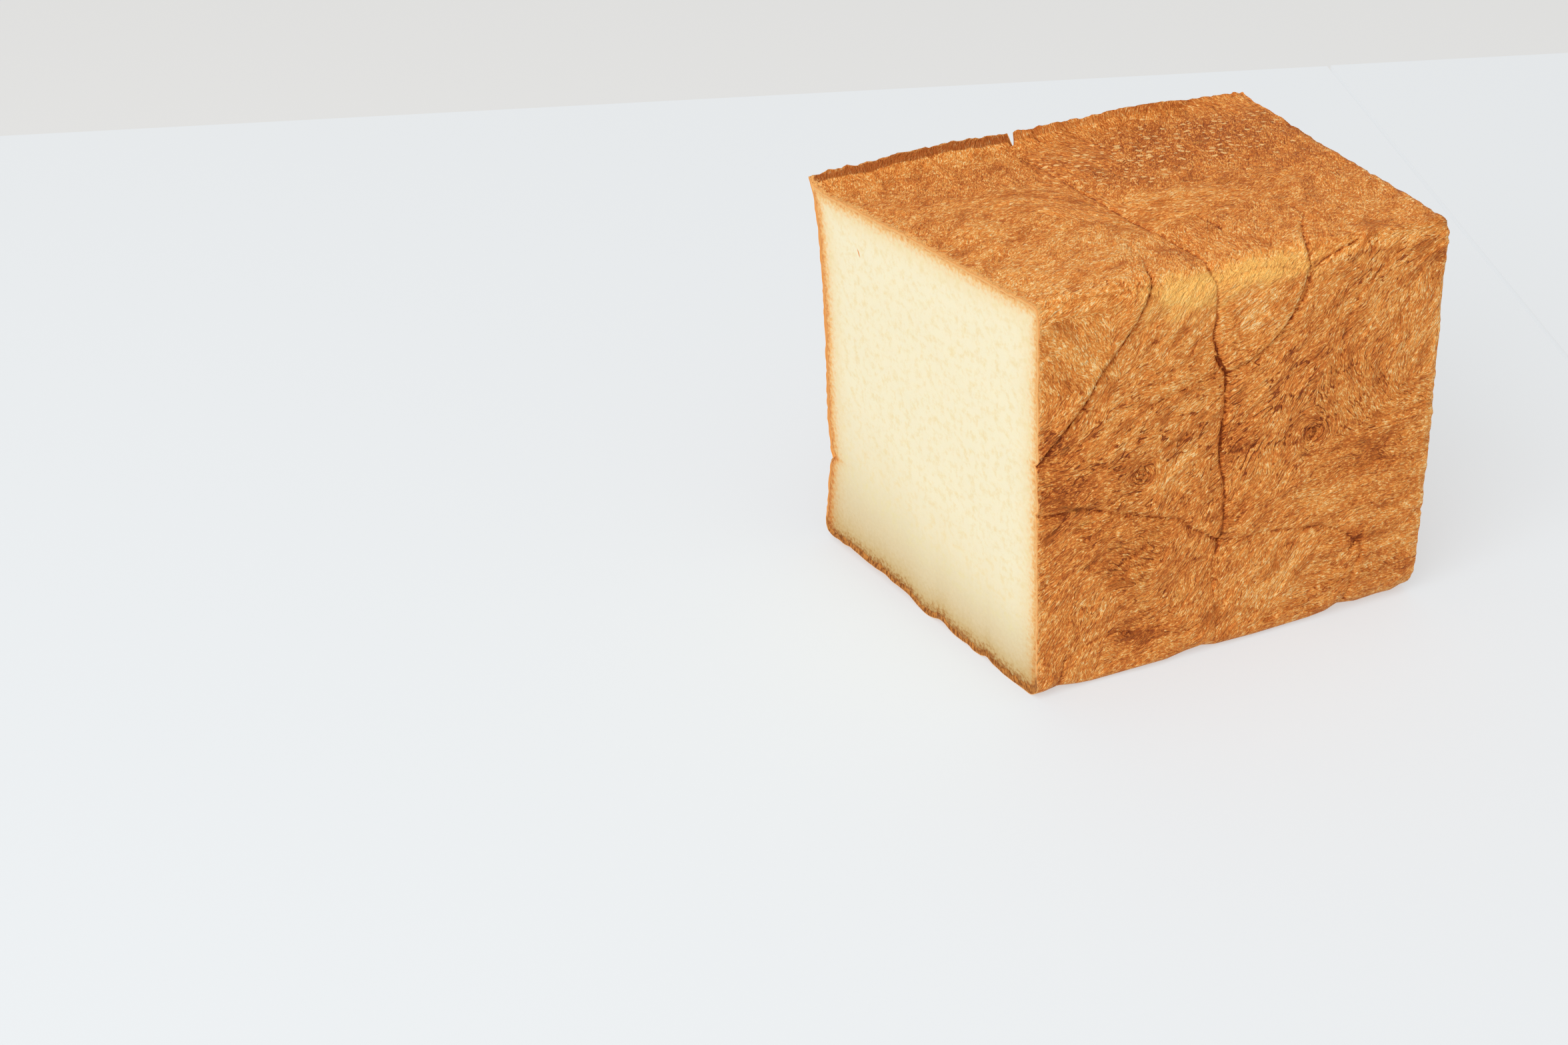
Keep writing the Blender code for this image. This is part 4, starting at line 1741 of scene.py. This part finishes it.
@dataclass(frozen=True)
class CrumbFinish:
    """White crumb: fine, soft and damp, sliced with a smooth blade.

    One ramp runs in from the sides and the top, and one up from the foot, over their reaches
    in mm; the one from the foot is the crumb's own denser, yellower foot and painted shade
    near the table. The fleck is a stray flake of crust, placed in the shared frame in metres.
    """

    name: str = "white_bread_crumb"
    from_side: Ramp = ((0.0, "d68a48"), (0.08, "e5a25d"), (0.17, "e9b979"), (0.27, "eac997"),
                       (0.41, "ead6ab"), (0.72, "ebddb9"), (1.0, "ebdfbd"))
    # the crumb's own denser, yellower foot, darkened with painted shade near the table
    foot_tint_and_shade: Ramp = ((0.026, "9c622c"), (0.045, "b08448"), (0.071, "c4a46e"),
                       (0.109, "cbb180"), (0.219, "d5c096"), (0.424, "dfcfa8"),
                       (0.643, "e7d9b5"), (1.0, "ebdfbd"))
    side_reach: float = 12.0
    foot_reach: float = 70.0
    smudge: str = "e6d09c"
    fleck: str = "df8a3a"
    fleck_place: tuple[float, float, float] = (-0.07, 0.0305, 0.112)
    fleck_size: tuple[float, float, float] = (0.05, 0.0004, 0.0016)
    fleck_turn: float = -28.0
    bump: float = 0.2

    def fleck_share(self, tree: Tree) -> Socket:
        """Set the fleck apart: a stretched ball of space, soft at its edge.

        Args:
            tree: where the nodes go.

        Returns:
            How much of the fleck's colour shows.
        """
        apart = add_node(tree, "Mapping", {
            "Vector": add_node(tree, "TexCoord", out="Object"), "Location": self.fleck_place,
            "Rotation": (math.radians(self.fleck_turn), 0.0, 0.0), "Scale": self.fleck_size},
            vector_type="TEXTURE")
        away = add_node(tree, "VectorMath", {0: apart}, "Value", operation="LENGTH")
        return add_node(tree, "MapRange", {0: away, 1: 1.0, 2: 0.5, 3: 0.0, 4: 0.95})

    def colour(self, tree: Tree) -> Socket:
        """Multiply the two ramps, over their common crumb colour, and smudge the product.

        Args:
            tree: where the nodes go.

        Returns:
            The crumb's colour.
        """
        wobble = Mottle(10.0 / 7.0, 3.0, 0.65).weave(tree)
        base: Feed = linear_colour(self.foot_tint_and_shade[-1][1])
        ramps = []
        for mark, stops, reach, swing in (("rim", self.from_side, self.side_reach, 3.0),
                                          ("foot", self.foot_tint_and_shade, self.foot_reach, 4.5)):
            distance = add_node(tree, "Attribute", attribute_name=mark, out="Fac")
            moved = add_node(tree, "Math", {0: wobble, 1: 2.0 * swing, 2: distance},
                             operation="MULTIPLY_ADD")
            level = add_node(tree, "MapRange", {0: moved, 1: swing, 2: swing + reach})
            ramps.append(add_node(tree, "ValToRGB", {0: level}))
            set_ramp(ramps[-1], stops)
        both = add_node(tree, "Mix", {0: 1.0, 6: ramps[0], 7: ramps[1]}, **BLEND,
                        blend_type="MULTIPLY")
        colour = add_node(tree, "Mix", {0: 1.0, 6: both, 7: base}, **BLEND, blend_type="DIVIDE")
        spots = Mottle(50.0 / 17.0, 4.0, 0.7).weave(tree)
        share = add_node(tree, "MapRange", {0: spots, 1: 0.48, 2: 0.7, 3: 0.0, 4: 0.75})
        colour = add_node(tree, "Mix", {0: share, 6: colour, 7: linear_colour(self.smudge)},
                          **BLEND, blend_type="DARKEN")
        return add_node(tree, "Mix", {0: self.fleck_share(tree), 6: colour,
                                      7: linear_colour(self.fleck)}, **BLEND)

    def make(self) -> bpy.types.Material:
        """Make the material."""
        material, tree, surface = new_material(self.name)
        # the real pores are 0.2 to 0.5 mm; the finest are drawn a little coarser, to show
        pores = Mottle(10.0 / 13.0, 2.5).weave(tree)
        bump = add_node(tree, "Bump", {"Strength": 0.35, "Distance": self.bump * MM,
                                       "Height": pores})
        shader = add_node(tree, "BsdfPrincipled", {
            "Base Color": self.colour(tree), "Roughness": 0.85, "IOR": 1.4, "Normal": bump,
            "Subsurface Weight": 0.25, "Subsurface Scale": 0.003,
            "Subsurface Radius": (1.0, 0.75, 0.45)})
        tree.links.new(shader, surface)
        return material


@dataclass(frozen=True)
class TableFinish:
    """Matte white table top, painted and smooth."""

    name: str = "matte_white_paint"
    colour: str = "94999c"
    glow: float = 0.5

    def make(self) -> bpy.types.Material:
        """Make the material."""
        material, tree, surface = new_material(self.name)
        shader = add_node(tree, "BsdfPrincipled", {
            "Base Color": linear_colour(self.colour), "Roughness": 0.7, "IOR": 1.5,
            "Specular IOR Level": 0.2, "Emission Color": (1.0, 1.0, 1.0, 1.0),
            "Emission Strength": self.glow})
        tree.links.new(shader, surface)
        return material


# -----------------------------------------------
# Studio
# -----------------------------------------------

@dataclass(frozen=True)
class SoftBox:
    """A square area light, aimed at the loaf. Lengths are in metres."""

    name: str
    place: tuple[float, float, float]
    size: float
    watts: float
    colour: str
    aim: tuple[float, float, float] = (0.0, 0.0, 0.06)

    def build(self) -> None:
        """Hang the light."""
        light = bpy.data.lights.new(self.name, "AREA")
        light.shape = "SQUARE"
        light.size = self.size
        light.energy = self.watts
        light.color = linear_colour(self.colour)[:3]
        lamp = bpy.data.objects.new(self.name, light)
        bpy.context.scene.collection.objects.link(lamp)
        lamp.location = self.place
        beam = np.array(self.aim) - np.array(self.place)
        yaw = math.atan2(beam[1], beam[0]) - math.pi / 2
        pitch = math.atan2(beam[2], math.hypot(beam[0], beam[1])) + math.pi / 2
        lamp.rotation_euler = (pitch, 0.0, yaw)


@dataclass(frozen=True)
class Studio:
    """The white table, the pale room round it, the lights and the camera.

    Places are in the loaf's own measure, in mm, and the camera's turn is in degrees. The
    table's joint and far edge end at the places named for them.
    """

    table_end: float = 4000.0
    left_far: tuple[float, float] = (-4000.0, 2047.0)
    joint_far: tuple[float, float] = (363.0, 398.0)
    joint_near: tuple[float, float] = (-1008.0, -4000.0)
    right_far: tuple[float, float] = (4000.0, -976.0)
    joint_gap: float = 2.2
    board_depth: float = 18.0
    ground_side: float = 16000.0
    ground_depth: float = 10.0
    room: str = "f2f3f4"
    room_strength: float = 0.56
    boxes: tuple[SoftBox, ...] = (
        SoftBox("key_light", (-1.5, -1.05, 1.5), 1.8, 38.0, "fbfcff"),
        SoftBox("ceiling_light", (-0.4, -0.4, 2.5), 2.0, 17.0, "fffefa"))
    lens: float = 54.695
    camera_place: tuple[float, float, float] = (-268.99, -507.73, 410.10)
    camera_turn: tuple[float, float, float] = (58.838, 2.535, -22.386)

    def build_slab(self, name: str, corners: Sequence[tuple[float, float]], top: float,
                   depth: float, material: bpy.types.Material, size: LoafSizes
                   ) -> bpy.types.Object:
        """Lay a closed slab with a flat top and upright sides.

        Args:
            name: the slab's name.
            corners: its corners along and across, so that its top faces up.
            top: height of its top over the table.
            depth: how deep it is.
            material: its finish.
            size: the loaf's sizes.

        Returns:
            The object, at the origin.
        """
        upper = [(along, across, top) for along, across in corners]
        lower = [(along, across, top - depth) for along, across in corners]
        count = len(corners)
        faces = [tuple(range(count)), tuple(range(2 * count - 1, count - 1, -1))]
        faces += [(near, near + count, (near + 1) % count + count, (near + 1) % count)
                  for near in range(count)]
        mesh = bpy.data.meshes.new(name)
        mesh.from_pydata(to_frame(np.array(upper + lower), size).tolist(), [], faces)
        mesh.materials.append(material)
        slab = bpy.data.objects.new(name, mesh)
        bpy.context.scene.collection.objects.link(slab)
        return slab

    def build_table(self, size: LoafSizes) -> None:
        """Lay the table's two boards with a fine joint between them, and the floor below."""
        paint = TableFinish().make()
        end, gap = self.table_end, self.joint_gap
        left = [self.left_far, self.joint_far, self.joint_near, (-end, -end)]
        right = [(self.joint_far[0] + gap, self.joint_far[1]), self.right_far,
                 (end, -end), (self.joint_near[0] + gap, self.joint_near[1])]
        for name, corners in (("left_board", left), ("right_board", right)):
            self.build_slab(name, corners[::-1], 0.0, self.board_depth, paint, size)
        half = self.ground_side / 2.0
        ground = [(-half, -half), (half, -half), (half, half), (-half, half)]
        grey = TableFinish("matte_grey_paint", "a09f9c", 0.42).make()
        self.build_slab("ground", ground, -self.board_depth, self.ground_depth, grey,
                                 size)

    def build_room(self) -> None:
        """Light the room evenly from all round."""
        world = bpy.data.worlds.new("pale_room")
        world.use_nodes = True
        world.node_tree.nodes.clear()
        glow = add_node(world.node_tree, "Background", {"Color": linear_colour(self.room),
                                                        "Strength": self.room_strength})
        output = world.node_tree.nodes.new("ShaderNodeOutputWorld")
        world.node_tree.links.new(glow, output.inputs["Surface"])
        bpy.context.scene.world = world

    def build_camera(self, size: LoafSizes) -> None:
        """Set up the camera at its place in the loaf's own measure."""
        data = bpy.data.cameras.new("camera")
        data.lens = self.lens
        data.sensor_width = 36.0
        data.clip_start = 0.01
        camera = bpy.data.objects.new("camera", data)
        bpy.context.scene.collection.objects.link(camera)
        camera.location = to_frame(np.array(self.camera_place), size)
        camera.rotation_euler = Euler([math.radians(angle) for angle in self.camera_turn], "XYZ")
        bpy.context.scene.camera = camera

    def build(self, size: LoafSizes) -> None:
        """Build the whole studio."""
        self.build_table(size)
        self.build_room()
        for box in self.boxes:
            box.build()
        self.build_camera(size)
        bpy.context.scene.view_settings.view_transform = "Standard"
        LOG.info("studio: %d soft box(es), lens %.1f mm", len(self.boxes), self.lens)


# -----------------------------------------------
# This loaf
# -----------------------------------------------

# Routes are (along, around) in mm; over the folded side, around is the height from the table.
CREASES = (
    Crease(((-4, 74), (2, 81), (8, 88), (15, 96), (20, 104), (24, 109), (30, 117), (34, 124),
            (36, 129), (38, 138)), depth=0.8, left=1.2, fade=11.0, shade=0.9),
    Crease(((57, 100), (60, 95), (65, 96), (72, 100), (79, 107), (83, 115), (85, 121), (85.5, 126),
            (86, 132), (88, 137), (93, 146)), depth=0.5, left=0.8, fade=9.0, shade=0.55),
    Crease(((57, 124), (70, 126.5), (82, 123)), depth=0.35, shade=0.3),
    Crease(((79, 107), (84, 114), (86, 121), (90, 124.5), (100, 129), (103, 131.5)), depth=0.35,
            shade=0.6),
    Crease(((115, 122.5), (106, 115), (101, 108), (99, 100), (98, 92)), depth=0.3, half_width=0.7,
            shade=0.3),
    Crease(((-1, 63), (6, 62), (14, 62), (22, 59), (30, 56), (40, 52), (48, 49.5), (50, 46.5),
            (55, 43), (60.5, 39)), depth=0.6, left=0.5, shade=0.5),
    Crease(((13, 55.5), (20, 56.5), (30, 55.5)), depth=0.35, shade=0.35),
    Crease(((60.5, 39), (68, 38), (78, 37.5), (87, 36), (95, 35), (103, 31), (108, 27), (111, 23),
            (109, 17), (108, 10), (107, 4)), depth=0.35, left=0.3, shade=0.3),
    Crease(((14, 94), (30, 90), (45, 92.5), (55, 95), (60, 98)), depth=0.25, half_width=0.5,
            shade=0.25),
    Crease(((10, 11), (18, 15), (28, 16.5), (33, 14)), depth=0.4, shade=0.35),
    Crease(((10, 11), (9, 5), (8, 0)), depth=0.5, shade=0.4),
    Crease(((60, 68), (65, 68), (71, 68.5)), depth=0.4, half_width=0.5, shade=0.45),
    Crease(((107, 24), (110, 28)), depth=0.6, half_width=0.7, shade=0.6),
    Crease(((70.5, 165.5), (71, 153.5)), depth=0.35, half_width=0.5, shade=0.5),
    Crease(((97, 158.5), (96, 150.5)), depth=0.3, half_width=0.5, shade=0.45),
)

# Routes of small curls and wrinkles of the drawn skin, all pressed alike
CURLS = (
    ((33, 107), (36, 110), (38, 109.5)), ((48, 103), (50, 106)), ((42, 98), (43, 101)),
    ((43, 76), (46, 76.5), (48, 75.5)), ((36, 73), (43, 76), (50, 78)),
    ((12, 71), (14, 73), (15.5, 71)), ((2, 68), (4, 68.5)),
    ((3, 55), (8, 58), (10, 61), (14, 62.5)), ((20, 52), (22, 54), (23, 53)),
    ((24, 36), (28, 40), (33, 42), (38, 44), (40, 42)), ((28, 36), (33, 38), (37, 37)),
    ((128, 30), (131, 33)), ((83, 31), (87, 31.5)), ((69.5, 19), (70.5, 19.5)),
)

KNOTS = (Knot(33.5, 68), Knot(90, 68))

# Strokes of grain as (along, around, angle, reach), in mm and degrees
STROKES = (
    (15, 107, -50, 9), (28, 112, 50, 6), (15, 94, 50, 8), (35, 92, 25, 8), (55, 94, 18, 7),
    (40, 120, 55, 8), (50, 112, 30, 7), (33, 82, 28, 8), (50, 62, 45, 8), (10, 70, 10, 8),
    (20, 68, 10, 8), (15, 45, 20, 12), (30, 40, -25, 9), (50, 30, 60, 10), (15, 25, 70, 10),
    (35, 18, 0, 9), (77, 97, 33, 9), (100, 112, 45, 9), (95, 122, 40, 7), (120, 62, -5, 10),
    (115, 92, 70, 9), (75, 80, 50, 9), (75, 60, 70, 8), (105, 78, -60, 9), (100, 50, 10, 9),
    (75, 45, 20, 8), (80, 25, 60, 10), (110, 15, 0, 12), (95, 12, 5, 10), (20, 224, 65, 14),
    (-15, 208.5, 30, 10), (-5, 193.5, 45, 8), (10, 201.5, 15, 8), (25, 204.5, 0, 7),
    (38, 198.5, -35, 6), (45, 188.5, -60, 7), (20, 148.5, 30, 14), (40, 138.5, 60, 9),
    (10, 165, 35, 14), (60, 218, -50, 8), (70, 198, 52, 12), (90, 218, 60, 12), (110, 198, 60, 12),
    (75, 178, 15, 9), (100, 178, 20, 10), (62, 173, 0, 7), (65, 148, 65, 9), (110, 158, 50, 12),
    (90, 150, 45, 10), (120, 140, 20, 9), (20, 300, 70, 30), (100, 300, 110, 30),
)

# The next four tables hold patches as (along, around, half length, half height, strength and,
# where it is turned, degrees). Here the crust is lighter (positive) or darker (negative), mostly
# from its bake; the strips on the far end's upright edge and along the top's front edge near it
# are painted highlights.
TONES_AND_HIGHLIGHTS = (
    (2, 77, 7, 15, -0.5), (5, 84, 6, 5, -0.6), (15, 70, 15, 7, -0.4), (33.5, 68, 5, 5, -0.6),
    (90, 68, 5, 5, -0.6), (36, 14, 9, 7, -0.6), (65, 72, 5, 10, -0.4), (112, 57, 12, 6, -0.35),
    (108, 27, 4, 5, -0.6), (127, 12, 4, 6, -0.5), (17, 107, 12, 10, 0.45), (70, 112, 12, 9, 0.45),
    (80, 20, 15, 11, 0.45), (100, 60, 25, 20, -0.15), (10, 150, 24, 18, 0.3),
    (100, 222, 44, 16, -0.45), (110, 150, 30, 14, 0.15), (62, 222, 10, 4, 0.6, -50.0),
    (66, 183, 16, 12, 0.2), (22, 222, 20, 10, -0.25), (95, 200, 42, 32, -0.5),
    (60, 212, 16, 20, -0.3), (34, 236, 12, 6, 0.3), (46, 124, 15, 9, 0.4), (71, 126, 17, 8, 0.35),
    (40, 136, 40, 6, 0.15), (105, 147, 16, 6, -0.3), (40, 157, 8, 16, 0.25), (80, 180, 14, 7, 0.3),
    (5, 119, 9, 9, 0.45), (42, 74, 10, 6, 0.3), (66, 74, 7, 6, -0.45), (10, 58, 14, 12, -0.3),
    (52, 45, 20, 18, -0.3), (40, 13, 12, 7, -0.3), (98, 114, 14, 10, 0.2), (9, 75, 4, 40, -0.25),
    # the first two patches on the next line are painted highlights on the far end's edges
    (132, 70, 3.5, 60, 0.6), (112, 128, 22, 4, 0.4), (45, 105, 9, 12, 0.25), (28, 92, 8, 5, 0.25),
    (45, 66, 9, 9, 0.3), (20, 40, 14, 6, -0.3), (45, 22, 12, 9, 0.2), (85, 95, 10, 14, -0.25),
    (120, 95, 10, 16, 0.2), (95, 45, 10, 6, 0.25), (73, 58, 8, 6, 0.2),
)

# Pale yellow areas that the tin hardly browned
PALES = (
    (46, 124, 13, 8, 1.1), (71, 126.5, 16, 6, 1.1), (17, 57, 4, 2, 0.6),
)

# Where pale blisters dot the crust
BLISTERS = (
    (100, 215, 48, 30, 1.0), (60, 205, 18, 22, 0.8), (0, 232, 40, 10, 0.4), (100, 165, 50, 18, 0.3),
)

# Where thin cracks follow the grain
CRACKED = (
    (33, 78, 34, 26, 1.0), (75, 78, 20, 28, 0.8), (112, 75, 30, 40, 0.6), (30, 30, 36, 22, 0.7),
    (95, 12, 40, 18, 0.5), (20, 133, 30, 8, 0.5), (110, 120, 26, 14, 0.7), (60, 300, 90, 60, 0.5),
)

# The marks that add up from patches
AREAS = {name: tuple(Patch(*row) for row in rows) for name, rows in (
    ("tone", TONES_AND_HIGHLIGHTS), ("pale", PALES), ("blister", BLISTERS), ("cracked", CRACKED))}

# The fold along the back, and below it the one across the far end, as (across, up)
BACK_CREASES = (
    Crease(((-24, 336.5), (10, 334), (30, 335), (70, 339), (110, 338), (136, 336)), depth=2.0,
           half_width=1.6, shade=0.4),
)
END_CREASES = (
    Crease(((-2, 36), (40, 31), (80, 33), (115, 36)), depth=0.9, half_width=1.6, left=0.5,
           shade=0.35),
)


def main() -> None:
    """Build the loaf's crust and crumb, then the studio."""
    logging.basicConfig(level=logging.INFO, format="%(name)s: %(message)s")
    sizes = LoafSizes()
    curls = tuple(Crease(route, depth=0.35, half_width=0.45, shade=0.45) for route in CURLS)
    grain = Grain(tuple(Stroke(*row) for row in STROKES), KNOTS)
    form = LoafForm(sizes, CREASES + curls + BACK_CREASES, END_CREASES, grain)
    wall = Wall()
    for piece, slot in ((Crust(form, wall, AREAS).build(), "crust"),
                        (Crumb(form, wall).build(), "crumb")):
        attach(piece, "root")
        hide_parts(NODE)
    Studio().build(sizes)


if __name__ == "__main__":
    main()
